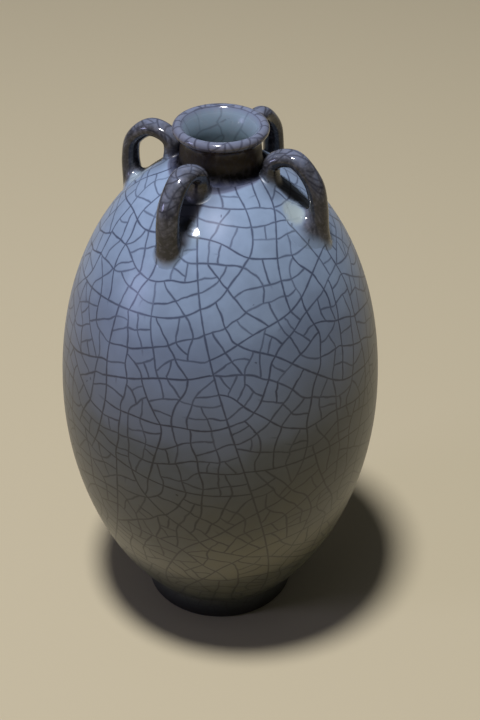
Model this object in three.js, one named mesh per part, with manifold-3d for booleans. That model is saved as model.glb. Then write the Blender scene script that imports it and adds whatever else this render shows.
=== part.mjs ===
// A small stoneware jar with a narrow mouth and four loop lugs on its shoulder.
//
// The potter joins seven pieces of leather-hard clay with slip: the thrown ovoid body, a thrown neck
// collar with a rolled lip, a foot ring, and four lugs, each a roll of clay bent into an arch. The thin
// film of slip at a lug's two roots is the only gap between the pieces.
//
// Units are millimetres, +Z is up, and the origin is the centre of the circle that the foot stands on.
// The front lug lies at -Y.

import * as THREE from "three";
import { mergeVertices } from "three/addons/utils/BufferGeometryUtils.js";
import Module from "manifold-3d";

const wasm = await Module();
wasm.setup();

// Foot ring: a slightly flared ring with a flat, wiped resting face
const FOOT_RADIUS = 21.0; // outside, at the floor
const FOOT_TOP_RADIUS = 22.8; // outside, where the body's clay begins
const FOOT_HEIGHT = 8.5;
const FOOT_WALL = 4.6;
const FOOT_EDGE = 0.9; // rounding on both sides of the resting face

// Body: an ovoid shell of one wall thickness, closed by a thicker floor
const BELLY_RADIUS = 43.0;
const BELLY_HEIGHT = 69.0;
const SHOULDER_HEIGHT = 136.6; // the flat seat under the neck collar
const BODY_WALL = 4.2;
const FLOOR_THICKNESS = 5.5;
const FLOOR_DISH = 1.2; // how far the underside is hollowed inside the foot ring
// How far, and at what slope from the horizontal, each end of the two arcs pulls its curve
const FOOT_PULL = 16.4;
const FOOT_SLOPE = 47.8;
const BELLY_PULL_DOWN = 25.0;
const BELLY_PULL_UP = 31.7;
const SHOULDER_PULL = 22.4;
const SHOULDER_SLOPE = 28.9;

// Neck collar: a short waisted tube that opens into a funnel with a rolled lip
const NECK_BASE_RADIUS = 12.4;
const NECK_WAIST_RADIUS = 10.3;
const NECK_BORE_RADIUS = 7.4;
const NECK_BASE_FILLET = 3.0; // height of the sweep from the seat to the waist
const NECK_HEIGHT = 11.2; // seat to the top of the lip
const LIP_RADIUS = 12.05; // outside of the roll
const LIP_ROLL = 1.3; // radius of the roll itself
const FUNNEL_DEPTH = 6.4; // how far down the mouth narrows to the bore

// Lugs: the arch's centre line, measured from the neck and from its seat
const LUG_NECK_DISTANCE = 3.9; // the neck's waist to the inner leg
const LUG_SPAN = 10.8; // inner leg to outer leg
const LUG_RISE = 5.5; // the neck's seat to the top of the arch
const LUG_INNER_DROP = 1.9; // how far below the top the inner leg's bend lies
const LUG_INNER_SPLAY = -0.5; // how far the inner root stands out from its leg
const LUG_BOW = 1.2; // how far the outer leg bows out half way down
const BOW_WITH_SPLAY = 0.15; // and how much more for each millimetre that its root stands out
const LUG_SINK = 4.5; // how far the roll runs on under the shoulder before it is trimmed to it
const LUG_THICKNESS = 4.3; // across the roll, in the plane of the arch
const LUG_WIDTH = 5.5; // across the roll, along the shoulder
const OUTER_LEG_SWELL = 0.1; // share by which the roll is wider at the foot of the outer leg than on top
const ROOT_SWELL = 0.3; // share by which the roll widens where it is pressed on
const ROOT_SWELL_LENGTH = 4.0;
const SLIP_GAP = 0.3; // film of slip under each root
// The lugs are rolled and set by eye, so no two are alike, nor exactly a quarter turn apart. lean turns
// the bend of the outer leg about the jar's axis and twist turns the inner root, both in degrees. drop is
// how far the bend of the outer leg lies below the top, tuck how far it is drawn in and splay how far the
// outer root stands out. girth scales the roll's section.
const LUGS = [
  { name: "lug_front", azimuth: -0.9, lean: 0, twist: 4.8, drop: 5.2, tuck: 0, splay: 0.4, girth: 1.06 },
  { name: "lug_right", azimuth: 93.5, lean: 0, twist: 0, drop: 5.2, tuck: 0.15, splay: 2.0, girth: 1 },
  { name: "lug_rear", azimuth: 176.2, lean: 0, twist: 0, drop: 5.0, tuck: 0, splay: 1.0, girth: 1 },
  { name: "lug_left", azimuth: 270.3, lean: 0, twist: 0, drop: 4.2, tuck: 0, splay: -0.1, girth: 1 },
];

// Fineness of the facets
const BODY_SEGMENTS = 48;
const NECK_SEGMENTS = 40;
const ARC_STEPS = 11; // along each of the body's two arcs
const LUG_STEPS = 22;
const LUG_SIDES = 12;

const GLAZE = { color: 0x9aa6ac, roughness: 0.22, metalness: 0 };
const THIN_GLAZE = { color: 0x5c5656, roughness: 0.28, metalness: 0 };
const FOOT_GLAZE = { color: 0x6b7070, roughness: 0.4, metalness: 0 };

const radians = THREE.MathUtils.degToRad;
const point = (radius, height) => new THREE.Vector2(radius, height);

// A point at a distance from another, at a slope above the horizontal.
function along(from, distance, slope) {
  return point(
    from.x + distance * Math.cos(radians(slope)),
    from.y + distance * Math.sin(radians(slope)),
  );
}

// Turns a profile of radius and height about the jar's upright axis.
function revolve(profile, segments) {
  return new THREE.LatheGeometry(profile, segments).rotateX(Math.PI / 2);
}

// The two arcs of the body's outside, foot to belly and belly to shoulder. Both are upright at the belly.
function bodyArcs() {
  const foot = point(FOOT_TOP_RADIUS, FOOT_HEIGHT);
  const belly = point(BELLY_RADIUS, BELLY_HEIGHT);
  const shoulder = point(NECK_BASE_RADIUS, SHOULDER_HEIGHT);
  return [
    new THREE.CubicBezierCurve(
      foot,
      along(foot, FOOT_PULL, FOOT_SLOPE),
      along(belly, -BELLY_PULL_DOWN, 90),
      belly,
    ),
    new THREE.CubicBezierCurve(
      belly,
      along(belly, BELLY_PULL_UP, 90),
      along(shoulder, SHOULDER_PULL, -SHOULDER_SLOPE),
      shoulder,
    ),
  ];
}

// Points of the body's outside, moved outwards by a distance, or inwards by a negative one.
function bodyOutline(distance) {
  const outline = [];
  for (const arc of bodyArcs()) {
    for (let step = 0; step <= ARC_STEPS; step += 1) {
      const at = arc.getPoint(step / ARC_STEPS);
      const way = arc.getTangent(step / ARC_STEPS);
      outline.push(point(at.x + distance * way.y, at.y - distance * way.x));
    }
  }
  // the belly ends one arc and starts the next
  outline.splice(ARC_STEPS + 1, 1);
  return outline;
}

// Where the line between two points reaches a radius or a height.
function crossing(a, b, axis, value) {
  return a.clone().lerp(b, (value - a[axis]) / (b[axis] - a[axis]));
}

// The hollow's wall, from the edge of the floor up to the bore under the neck.
function hollowOutline() {
  const floor = FOOT_HEIGHT + FLOOR_THICKNESS;
  const wall = bodyOutline(-BODY_WALL);
  const first = wall.findIndex((p) => p.y > floor);
  const bottom = crossing(wall[first - 1], wall[first], "y", floor);
  // the wall's last facet carries on to the bore
  const top = crossing(wall.at(-2), wall.at(-1), "x", NECK_BORE_RADIUS);
  return [bottom, ...wall.slice(first), top];
}

function bodyGeometry() {
  const ringInside = FOOT_TOP_RADIUS - FOOT_WALL;
  const floor = FOOT_HEIGHT + FLOOR_THICKNESS;
  const profile = [
    point(0, FOOT_HEIGHT + FLOOR_DISH),
    point(ringInside, FOOT_HEIGHT),
    ...bodyOutline(0),
    point(NECK_BORE_RADIUS, SHOULDER_HEIGHT),
    ...hollowOutline().reverse(),
    point(0, floor),
  ];
  return revolve(profile, BODY_SEGMENTS);
}

function footGeometry() {
  const inside = FOOT_RADIUS - FOOT_WALL;
  const insideTop = FOOT_TOP_RADIUS - FOOT_WALL;
  const section = new THREE.Shape();
  section.moveTo(inside + FOOT_EDGE, 0);
  section.lineTo(FOOT_RADIUS - FOOT_EDGE, 0);
  section.quadraticCurveTo(FOOT_RADIUS, 0, FOOT_RADIUS, FOOT_EDGE);
  section.quadraticCurveTo(FOOT_RADIUS + FOOT_EDGE / 2, FOOT_HEIGHT * 0.7, FOOT_TOP_RADIUS, FOOT_HEIGHT);
  section.lineTo(insideTop, FOOT_HEIGHT);
  section.lineTo(inside, FOOT_EDGE);
  section.quadraticCurveTo(inside, 0, inside + FOOT_EDGE, 0);
  return revolve(section.getPoints(3), BODY_SEGMENTS);
}

// The neck collar's outside, from its seat over the lip's roll, moved outwards by a distance.
function neckOutside(distance) {
  const waist = NECK_WAIST_RADIUS + distance;
  const roll = point(LIP_RADIUS - LIP_ROLL, SHOULDER_HEIGHT + NECK_HEIGHT - LIP_ROLL);
  const underLip = along(roll, LIP_ROLL + distance, -45);
  const outside = new THREE.Path();
  outside.moveTo(NECK_BASE_RADIUS + distance, SHOULDER_HEIGHT);
  outside.quadraticCurveTo(waist, SHOULDER_HEIGHT, waist, SHOULDER_HEIGHT + NECK_BASE_FILLET);
  outside.quadraticCurveTo(waist, roll.y - LIP_ROLL, underLip.x, underLip.y);
  outside.absarc(roll.x, roll.y, LIP_ROLL + distance, -Math.PI / 4, (Math.PI * 3) / 4, false);
  return outside;
}

function neckGeometry() {
  const funnelEnd = SHOULDER_HEIGHT + NECK_HEIGHT - FUNNEL_DEPTH;
  const section = neckOutside(0);
  section.quadraticCurveTo(NECK_BORE_RADIUS, funnelEnd + FUNNEL_DEPTH / 2, NECK_BORE_RADIUS, funnelEnd);
  section.lineTo(NECK_BORE_RADIUS, SHOULDER_HEIGHT);
  section.lineTo(NECK_BASE_RADIUS, SHOULDER_HEIGHT);
  return revolve(section.getPoints(4), NECK_SEGMENTS);
}

// A closed mesh as a solid that can be cut.
function solidOf(geometry) {
  const bare = geometry.clone();
  bare.deleteAttribute("normal");
  bare.deleteAttribute("uv");
  const merged = mergeVertices(bare, 1e-4);
  return new wasm.Manifold(
    new wasm.Mesh({
      numProp: 3,
      vertProperties: new Float32Array(merged.attributes.position.array),
      triVerts: new Uint32Array(merged.index.array),
    }),
  );
}

function geometryOf(solid) {
  const mesh = solid.getMesh();
  const geometry = new THREE.BufferGeometry();
  geometry.setAttribute("position", new THREE.BufferAttribute(mesh.vertProperties, 3));
  geometry.setIndex(new THREE.BufferAttribute(mesh.triVerts, 1));
  return geometry;
}

// What the lugs are pressed on to, with its film of slip: the filled body and the filled neck.
function pressedSurface() {
  const body = [
    point(0, FOOT_HEIGHT),
    ...bodyOutline(SLIP_GAP),
    point(0, SHOULDER_HEIGHT + SLIP_GAP),
  ];
  const neck = [
    point(0, SHOULDER_HEIGHT - BODY_WALL),
    point(NECK_BASE_RADIUS, SHOULDER_HEIGHT - BODY_WALL),
    ...neckOutside(SLIP_GAP).getPoints(4),
    point(0, SHOULDER_HEIGHT + NECK_HEIGHT),
  ];
  return solidOf(revolve(body, BODY_SEGMENTS)).add(solidOf(revolve(neck, NECK_SEGMENTS)));
}

// The height of the body's outside at a radius on its shoulder.
function shoulderHeight(radius) {
  const [, upper] = bodyArcs();
  const wall = upper.getPoints(ARC_STEPS);
  const after = wall.findIndex((p) => p.x < radius);
  return crossing(wall[after - 1], wall[after], "x", radius).y;
}

// The centre line of a lug's arch: up the outer leg, over the top and down beside the neck.
function lugPath({ azimuth, lean, twist, drop, tuck, splay }) {
  const inner = NECK_WAIST_RADIUS + LUG_NECK_DISTANCE;
  const outer = inner + LUG_SPAN;
  const top = SHOULDER_HEIGHT + LUG_RISE;
  const innerRoot = inner + LUG_INNER_SPLAY;
  const outerRoot = outer + splay;
  const outerRootHeight = shoulderHeight(outerRoot);
  const outerBendHeight = top - drop;
  const bow = LUG_BOW + BOW_WITH_SPLAY * splay;
  const bends = [
    [outerRoot, outerRootHeight - LUG_SINK, 0],
    [outer + bow, (outerRootHeight + outerBendHeight) / 2, lean * 0.8],
    [outer - tuck, outerBendHeight, lean],
    [(inner + outer) / 2, top, lean + (twist - lean) * 0.3],
    [inner, top - LUG_INNER_DROP, twist],
    [innerRoot, shoulderHeight(innerRoot) - LUG_SINK, twist],
  ];
  const arch = bends.map(([radius, height, offset]) => {
    const turn = radians(azimuth + offset);
    return new THREE.Vector3(radius * Math.sin(turn), -radius * Math.cos(turn), height);
  });
  return new THREE.CatmullRomCurve3(arch, false, "centripetal");
}

// A roll of clay carried along the arch: an oval section that swells towards both roots.
function lugRoll(lug) {
  const path = lugPath(lug);
  const length = path.getLength();
  const facing = radians(lug.azimuth);
  const across = new THREE.Vector3(Math.cos(facing), Math.sin(facing), 0);
  const positions = [];
  const faces = [];
  for (let step = 0; step <= LUG_STEPS; step += 1) {
    const share = step / LUG_STEPS;
    const centre = path.getPointAt(share);
    const outwards = new THREE.Vector3().crossVectors(path.getTangentAt(share), across).normalize();
    const fromRoot = Math.min(share, 1 - share) * length;
    const rootSwell = ROOT_SWELL * Math.exp(-((fromRoot / ROOT_SWELL_LENGTH) ** 2));
    const legSwell = OUTER_LEG_SWELL * Math.max(1 - 2 * share, 0);
    const girth = lug.girth * (1 + rootSwell + legSwell);
    for (let side = 0; side < LUG_SIDES; side += 1) {
      const turn = (2 * Math.PI * side) / LUG_SIDES;
      const at = centre
        .clone()
        .addScaledVector(outwards, (Math.cos(turn) * girth * LUG_THICKNESS) / 2)
        .addScaledVector(across, (Math.sin(turn) * girth * LUG_WIDTH) / 2);
      positions.push(at.x, at.y, at.z);
      const next = (side + 1) % LUG_SIDES;
      if (step > 0) {
        const [a, b] = [(step - 1) * LUG_SIDES + side, (step - 1) * LUG_SIDES + next];
        faces.push(a, a + LUG_SIDES, b, b, a + LUG_SIDES, b + LUG_SIDES);
      }
    }
  }
  const last = LUG_STEPS * LUG_SIDES;
  for (let side = 1; side < LUG_SIDES - 1; side += 1) {
    faces.push(0, side, side + 1, last, last + side + 1, last + side);
  }
  const roll = new THREE.BufferGeometry();
  roll.setAttribute("position", new THREE.Float32BufferAttribute(positions, 3));
  roll.setIndex(faces);
  return roll;
}

function piece(name, geometry, look) {
  const mesh = new THREE.Mesh(geometry, new THREE.MeshStandardMaterial(look));
  mesh.name = name;
  return mesh;
}

const jar = new THREE.Group();
jar.add(piece("body", bodyGeometry(), GLAZE));
jar.add(piece("neck_collar", neckGeometry(), THIN_GLAZE));
jar.add(piece("foot_ring", footGeometry(), FOOT_GLAZE));

const pressedOn = pressedSurface();
for (const lug of LUGS) {
  const trimmed = solidOf(lugRoll(lug)).subtract(pressedOn);
  jar.add(piece(lug.name, geometryOf(trimmed), THIN_GLAZE));
}

export default jar;
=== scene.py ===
# %% [markdown]
# # A small crackle-glazed jar with four lugs
# The real jar is thrown stoneware: an egg-shaped body with a narrow mouth, a short neck with a rolled
# lip, a foot ring, and four lugs that the potter rolled, bent and pressed on the shoulder. A thick pale
# glaze covers it. The glaze shrank more than the clay as it cooled, so it cracked all over, and ink or
# tea was rubbed into the cracks. Where the glaze ran thin, on the lugs and the neck, the dark clay shows.
#
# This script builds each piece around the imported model, then the finishes, the light and the camera.

import math

import bpy
import numpy as np
from mathutils import Matrix, Vector


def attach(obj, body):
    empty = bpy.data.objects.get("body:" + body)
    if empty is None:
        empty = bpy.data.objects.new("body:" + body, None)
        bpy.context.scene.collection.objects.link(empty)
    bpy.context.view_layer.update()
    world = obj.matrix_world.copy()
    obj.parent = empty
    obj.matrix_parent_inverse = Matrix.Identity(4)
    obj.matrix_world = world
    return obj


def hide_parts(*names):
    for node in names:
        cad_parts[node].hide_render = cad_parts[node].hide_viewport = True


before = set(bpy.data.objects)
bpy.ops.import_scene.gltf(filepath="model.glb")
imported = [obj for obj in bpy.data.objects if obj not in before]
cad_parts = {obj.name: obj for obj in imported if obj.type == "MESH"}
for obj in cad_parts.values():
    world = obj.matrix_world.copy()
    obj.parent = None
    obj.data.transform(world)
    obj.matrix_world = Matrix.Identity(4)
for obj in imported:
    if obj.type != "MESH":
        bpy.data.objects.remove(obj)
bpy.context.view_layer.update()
print("CAD nodes:", ", ".join(sorted(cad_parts)))

# %% [markdown]
# ## Curves
# A thrown pot is a profile turned about an axis, so most of the work is drawing good profiles. They are
# worked out in millimetres, with a radius and a height for each point, and only turned to metres when a
# mesh is made.

# %% Curve helpers
MM = 0.001
FULL_TURN = 2 * math.pi
TINY = 1e-12  # keeps a division from meeting zero


def bezier(controls, count):
    """A Bezier curve: neighbouring controls are mixed by the share t, again and again, down to one point."""
    share = np.linspace(0, 1, count)[:, None]
    level = [np.asarray(control, float)[None, :] for control in controls]
    while len(level) > 1:
        level = [first + (second - first) * share for first, second in zip(level, level[1:])]
    return level[0]


def slope(degrees):
    """The direction, or the directions, that climb at an angle from the horizontal."""
    return np.stack([np.cos(np.radians(degrees)), np.sin(np.radians(degrees))], axis=-1)


def joined(*parts):
    """One line of points from several that meet: the repeated first point of each later part is dropped."""
    return np.vstack([parts[0]] + [part[1:] for part in parts[1:]])


def distances(line):
    """How far along a line of points each point lies: the running sum of the steps between them."""
    steps = np.linalg.norm(np.diff(line, axis=0), axis=1)
    return np.concatenate([[0.0], np.cumsum(steps)])


def evenly(line, count):
    """The same line with its points evenly spaced: each coordinate is read off at equal distances."""
    length = distances(line)
    at = np.linspace(0, length[-1], count)
    return np.stack([np.interp(at, length, values) for values in line.T], axis=1)


def unit(vectors):
    """Vectors of length one."""
    return vectors / np.maximum(np.linalg.norm(vectors, axis=-1, keepdims=True), TINY)


def left_of(ways):
    """Plane directions turned a quarter to the left."""
    return np.stack([-ways[..., 1], ways[..., 0]], axis=-1)


def waves(turns, counts, size, rng):
    """Random waves added up, with so many of each to a full turn."""
    return sum(rng.normal(0, size) * np.sin(count * turns + rng.uniform(0, 6)) for count in counts)


# %% [markdown]
# ## The profiles
# The body's outside is two Bezier arcs that are both upright at the belly, so it has no crease there. The
# hollow is the same line moved inwards by the wall's thickness. The neck sweeps up from the shoulder, is
# narrowest at its waist, and opens into a funnel whose edge is rolled over as a lip. The foot is a ring
# that flares up to the body. Its numbers are the ones that the CAD part was made from.

# %% Profiles of the body, the neck and the foot
UP = np.array([0.0, 1.0])
FOOT_TOP = np.array([22.8, 8.5])
BELLY = np.array([43.0, 69.0])
SHOULDER = np.array([12.4, 136.6])
FOOT_RISE, FOOT_PULL = 47.8, 16.4  # degrees, and how far off the curve's control lies in mm
SHOULDER_RISE, SHOULDER_PULL = -28.9, 22.4
BELOW_BELLY, ABOVE_BELLY = 25.0, 31.7
BODY_WALL = 4.2
BORE_RADIUS = 7.4
FLOOR_HEIGHT = 14.0
UNDERSIDE_HEIGHT = 9.7
FOOT_INSIDE_TOP = 18.2
FOOT_EDGE = [21.05, 1.0]
NECK_WAIST = [10.3, 139.9]
FUNNEL_END = [BORE_RADIUS, 140.6]
LIP_TOP = 147.8
LIP_OUTSIDE = 12.05
LIP_ROLL = 1.3
LIP_FROM, LIP_TO = -66, 140  # degrees round the roll, from its underside to the funnel

body_outside = joined(
    bezier([FOOT_TOP, FOOT_TOP + FOOT_PULL * slope(FOOT_RISE), BELLY - BELOW_BELLY * UP, BELLY], 200),
    bezier([BELLY, BELLY + ABOVE_BELLY * UP, SHOULDER + SHOULDER_PULL * slope(SHOULDER_RISE), SHOULDER], 240),
)
lip_centre = np.array([LIP_OUTSIDE - LIP_ROLL, LIP_TOP - LIP_ROLL])
under_lip = lip_centre + LIP_ROLL * slope(LIP_FROM)
lip_inside = lip_centre + LIP_ROLL * slope(LIP_TO)
neck_outside = joined(
    bezier([SHOULDER, [10.7, 137.0], [10.3, 138.2], NECK_WAIST], 40),
    bezier([NECK_WAIST, [10.3, 142.6], under_lip - 2.2 * slope(24), under_lip], 40),
)
lip_over = lip_centre + LIP_ROLL * slope(np.linspace(LIP_FROM, LIP_TO, 60))
funnel = joined(
    bezier([lip_inside, lip_inside + 1.8 * slope(230), [BORE_RADIUS, 143.6], FUNNEL_END], 50),
    np.array([FUNNEL_END, [BORE_RADIUS, SHOULDER[1]]]),
)
foot_outside = joined(
    bezier([[20.0, 0.0], [21.0, 0.0], FOOT_EDGE], 12),
    bezier([FOOT_EDGE, [21.5, 5.6], FOOT_TOP], 30),
)
lengths = [float(distances(line)[-1]) for line in (foot_outside, body_outside, neck_outside, lip_over)]
foot_length, body_length, neck_length, lip_length = lengths
print("foot, body, neck and lip along the profile, in mm:", [round(length, 1) for length in lengths])

# %% [markdown]
# ## The crackle net
# Crackle isn't a pattern of bubbles. Each new crack starts on an older one, sets off square to it, and
# runs until it meets another older one, also nearly square. So the net is made the way it grows: the
# whole skin of glaze is one sheet, a crack splits it in two, and each part is split again until the
# pieces are as small as the real ones, 3 to 6 mm. Where a crack already comes up to the older one from
# its far side, the new one often starts from the same spot and carries on its line, so that the two look
# like one long crack. A Voronoi texture would give round cells that meet in threes, which is what crackle
# doesn't look like.
#
# A skin on a round pot can't be laid out flat at one scale, so the sheet uses the angle about the axis
# and a height that is stretched in the same ratio. That keeps right angles right, and the local scale,
# in millimetres for each unit, is simply the radius.

# %% Polygons
def area_and_centre(corners):
    """Area and centre of a polygon by the shoelace sum over its edges."""
    after = np.roll(corners, -1, axis=0)
    cross = corners[:, 0] * after[:, 1] - after[:, 0] * corners[:, 1]
    area = cross.sum() / 2
    return area, cross @ (corners + after) / (6 * area)


def compactness(corners, size):
    """How round a polygon is: 4 pi times its area over its outline squared."""
    step = np.roll(corners, -1, axis=0) - corners
    return 4 * math.pi * size / np.sqrt((step * step).sum(1)).sum() ** 2


def all_inside(points, corners):
    """Whether a ray from every point crosses the polygon's outline an odd number of times."""
    x0, y0 = corners.T
    x1, y1 = np.roll(corners, -1, axis=0).T
    x, y = points[:, 0, None], points[:, 1, None]
    spans = (y0 > y) != (y1 > y)
    reach = x0 + (y - y0) * (x1 - x0) / np.where(y1 == y0, TINY, y1 - y0)
    return bool(((spans & (x < reach)).sum(1) % 2 == 1).all())


# %% The path of one crack
LEAN_CARRIED_ON, LEAN_SQUARE = (0.05, 0.3), (0.2, 0.85)  # how far its ends lean from their ways to straight
PULL_SHARES = (0.2, 0.36)
WAVES = np.arange(2, 7)
WAVE_SIZE, WAVE_FALL = 0.045, 1.6
BOW_SIZE, BOW_CARRIED_ON = 0.06, 0.4


def crack_path(start, end, ways, carries_on, step, rng):
    """A crack: a Bezier arc that leaves both ends along the given ways, bowed and with waves that wander."""
    chord = end - start
    length = math.sqrt(chord @ chord)
    straight = chord / max(length, TINY)
    lean = np.where(carries_on, rng.uniform(*LEAN_CARRIED_ON, 2), rng.uniform(*LEAN_SQUARE, 2))
    pull = length * rng.uniform(*PULL_SHARES)
    first = start + (ways[0] * (1 - lean[0]) + straight * lean[0]) * pull
    second = end + (ways[1] * (1 - lean[1]) - straight * lean[1]) * pull
    count = max(4, int(round(length / step)) + 1)
    share = np.linspace(0, 1, count)[:, None]
    rest = 1 - share
    line = rest**3 * start + 3 * rest**2 * share * first + 3 * rest * share**2 * second + share**3 * end
    beside = left_of(straight) * length
    sizes = rng.normal(0, WAVE_SIZE, len(WAVES)) / WAVES**WAVE_FALL
    bow = rng.normal(0, BOW_SIZE) * (BOW_CARRIED_ON if carries_on.any() else 1)
    wander = bow * np.sin(math.pi * share) + np.sin(math.pi * share * WAVES) @ sizes[:, None]
    return line + wander * beside


# %% Where a crack may start and end
MEETING_AWAY = 0.02  # the share of an edge that a meeting keeps from its ends


def meeting_near(hit, edge, sheet, cracks, reach):
    """A crack that already comes up to the same older one from its far side, near a hit, if there is one.

    Returns the polygon's edge that it lies on and the meeting. One from the near side is a corner of this
    polygon, so it lies at the end of an edge and never on one.
    """
    corners, owners, stretches = sheet
    if owners[edge] < 1:
        return None
    for meeting in cracks[owners[edge]]["joined"]:
        if np.abs(meeting["point"] - hit).max() > reach:
            continue
        for index in np.nonzero((owners == owners[edge]) & (stretches == meeting["stretch"]))[0]:
            low = corners[index]
            way = corners[(index + 1) % len(corners)] - low
            share = (meeting["point"] - low) @ way / max(way @ way, TINY)
            if MEETING_AWAY < share < 1 - MEETING_AWAY:
                return int(index), meeting
    return None


def nearest_hits(corners, through, long_way):
    """Where a line through a point, square to the long way, first meets the outline on its two sides.

    Returns the numbers of the two edges, the two points and the two edges, or nothing.
    """
    side = (corners - through) @ long_way
    after = np.roll(side, -1)
    crossed = np.nonzero((side < 0) != (after < 0))[0]
    share = side[crossed] / (side[crossed] - after[crossed])
    edges = corners[(crossed + 1) % len(corners)] - corners[crossed]
    hits = corners[crossed] + share[:, None] * edges
    reach = (hits - through) @ left_of(long_way)
    if not ((reach > 0).any() and (reach < 0).any()):
        return None
    picked = [np.where(reach < 0, reach, -np.inf).argmax(), np.where(reach > 0, reach, np.inf).argmin()]
    return [int(crossed[pick]) for pick in picked], hits[picked], edges[picked]


# %% Splitting a cell
CRACK_STEP = 0.75  # mm between the points of a crack
TRIES = 7
TURN_SPREAD = 0.45  # how far a crack may turn from straight across its cell, in radians
SHIFT_SPREAD = 0.25  # how far it may pass from the cell's centre, as a share of the cell's spread
WORST_SHARE = 0.26  # the smaller part's least share of a cell
ROUNDING = 1.02
EVEN_WEIGHT, MEETING_WEIGHT, LUCK = 0.2, 0.12, 0.08
MEETING_CHANCE = 0.6
MEETING_REACH = 1.9  # mm between a hit and the meeting that is taken instead
MEETING_STRAIGHT = 0.7  # the least cosine between the line that is carried on and the new crack


def best_split(sheet, cracks, step, rng):
    """The best of several random cracks across a polygon: one that leaves two even, compact parts."""
    corners = sheet[0]
    area, centre = area_and_centre(corners)
    apart = corners - corners.mean(0)
    values, axes = np.linalg.eigh(apart.T @ apart)
    spread = math.sqrt(values[1] / len(corners))
    best = None
    for _ in range(TRIES):
        turn = rng.normal(0, TURN_SPREAD)
        long_way = axes[:, 1] * math.cos(turn) + axes[:, 0] * math.sin(turn)
        through = centre + axes[:, 1] * rng.normal(0, SHIFT_SPREAD) * spread
        found = nearest_hits(corners, through, long_way)
        if found is None:
            continue
        numbers, ends, edges = found
        ways = unit(left_of(edges))
        meetings = [None, None]
        for end in (0, 1):
            if rng.random() > MEETING_CHANCE:
                continue
            met = meeting_near(ends[end], numbers[end], sheet, cracks, MEETING_REACH * step / CRACK_STEP)
            if met is None:
                continue
            chord = ends[1 - end] - met[1]["point"]
            if met[1]["way"] @ chord > MEETING_STRAIGHT * math.sqrt(chord @ chord):
                numbers[end], meetings[end] = met
                ends[end], ways[end] = meetings[end]["point"], meetings[end]["way"]
        carries_on = np.array([meeting is not None for meeting in meetings])
        line = crack_path(ends[0], ends[1], ways, carries_on, step, rng)
        if not all_inside(line[1:-1], corners):
            continue
        first, last = numbers
        ring = (np.arange(len(corners)) + first + 1) % len(corners)
        cut = (last - first) % len(corners)
        near, far = ring[:cut], ring[cut:]
        parts = (np.vstack([line[::-1], corners[near]]), np.vstack([line, corners[far]]))
        sizes = [abs(area_and_centre(part)[0]) for part in parts]
        even = min(sizes) / sum(sizes)
        if even < WORST_SHARE or sum(sizes) > abs(area) * ROUNDING:
            continue
        compact = min(compactness(part, size) for size, part in zip(sizes, parts))
        score = compact + EVEN_WEIGHT * even + MEETING_WEIGHT * carries_on.sum() + rng.uniform(0, LUCK)
        if best is None or score > best["score"]:
            best = {"score": score, "compact": compact, "line": line, "near": near, "far": far}
            best.update({"edges": (first, last), "meetings": meetings})
    return best


# %% The sheet that the cracks split
SEAM_WANDER = 0.04


def sheet_outline(width, height, scale, rng):
    """The sheet's edge: a wandering seam up both sides, closed by its straight low and high edges."""
    steps = [0.0]
    while steps[-1] < height:
        steps.append(steps[-1] + CRACK_STEP / scale(steps[-1]))
    up = np.array(steps[:-1] + [height])
    wander = sum(rng.normal(0, SEAM_WANDER) * np.sin(count * math.pi * up / height) for count in range(2, 9))
    seam = np.stack([wander, up], axis=1)
    along = max(8, int(width * scale(height / 2) / CRACK_STEP))
    flat = np.linspace(0, width, along)[1:-1]
    low = np.stack([flat, 0 * flat], axis=1)
    high = np.stack([flat[::-1], 0 * flat + height], axis=1)
    outline = np.vstack([seam + [width, 0], high, seam[::-1], low])
    count = len(seam) - 1
    none = np.full(len(flat) + 1, -1)
    owners = np.concatenate([np.zeros(count, int), none, np.zeros(count, int), none])
    stretches = np.concatenate([np.arange(count), none, np.arange(count)[::-1], none])
    return seam, (outline, owners, stretches)


# %% Growing a net of cracks
LEAST_COMPACT = 0.4  # how round a cell's parts have to be, where a circle is 1
STRAGGLY_SIZE = 1.6  # a cell under this many times its limit stays whole rather than split badly
CELL_SPREAD = (0.5, 1.5)
OPEN_END_CHANCE = 0.05
OPEN_END_SHARES = (0.45, 0.75)
SEAM_STRENGTH, OPEN_STRENGTH = 0.9, 0.4
YOUNG_STRENGTH, OLD_EXTRA, STRENGTH_SPREAD = 0.72, 0.24, 0.07


def new_crack(line, strength, ends=(-1, -1), fades=False):
    """A crack: its points, how dark it is, the older cracks it ends on, and what joins or carries it on."""
    crack = {"line": line, "strength": strength, "ends": list(ends), "fades": fades}
    return {**crack, "joined": [], "partners": [-1, -1]}


def join_on(cracks, name, end, way, owner, stretch, meeting):
    """Notes where one end of a new crack joins an older one, or carries on a third from its far side."""
    if meeting is None:
        spot = {"stretch": int(stretch), "point": cracks[name]["line"][-end], "way": unit(way)}
        cracks[owner]["joined"].append({**spot, "crack": name, "end": end})
        return
    for one, its_end, other in ((meeting["crack"], meeting["end"], name), (name, end, meeting["crack"])):
        cracks[one]["partners"][its_end] = other
        cracks[one]["ends"][its_end] = -1


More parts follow.
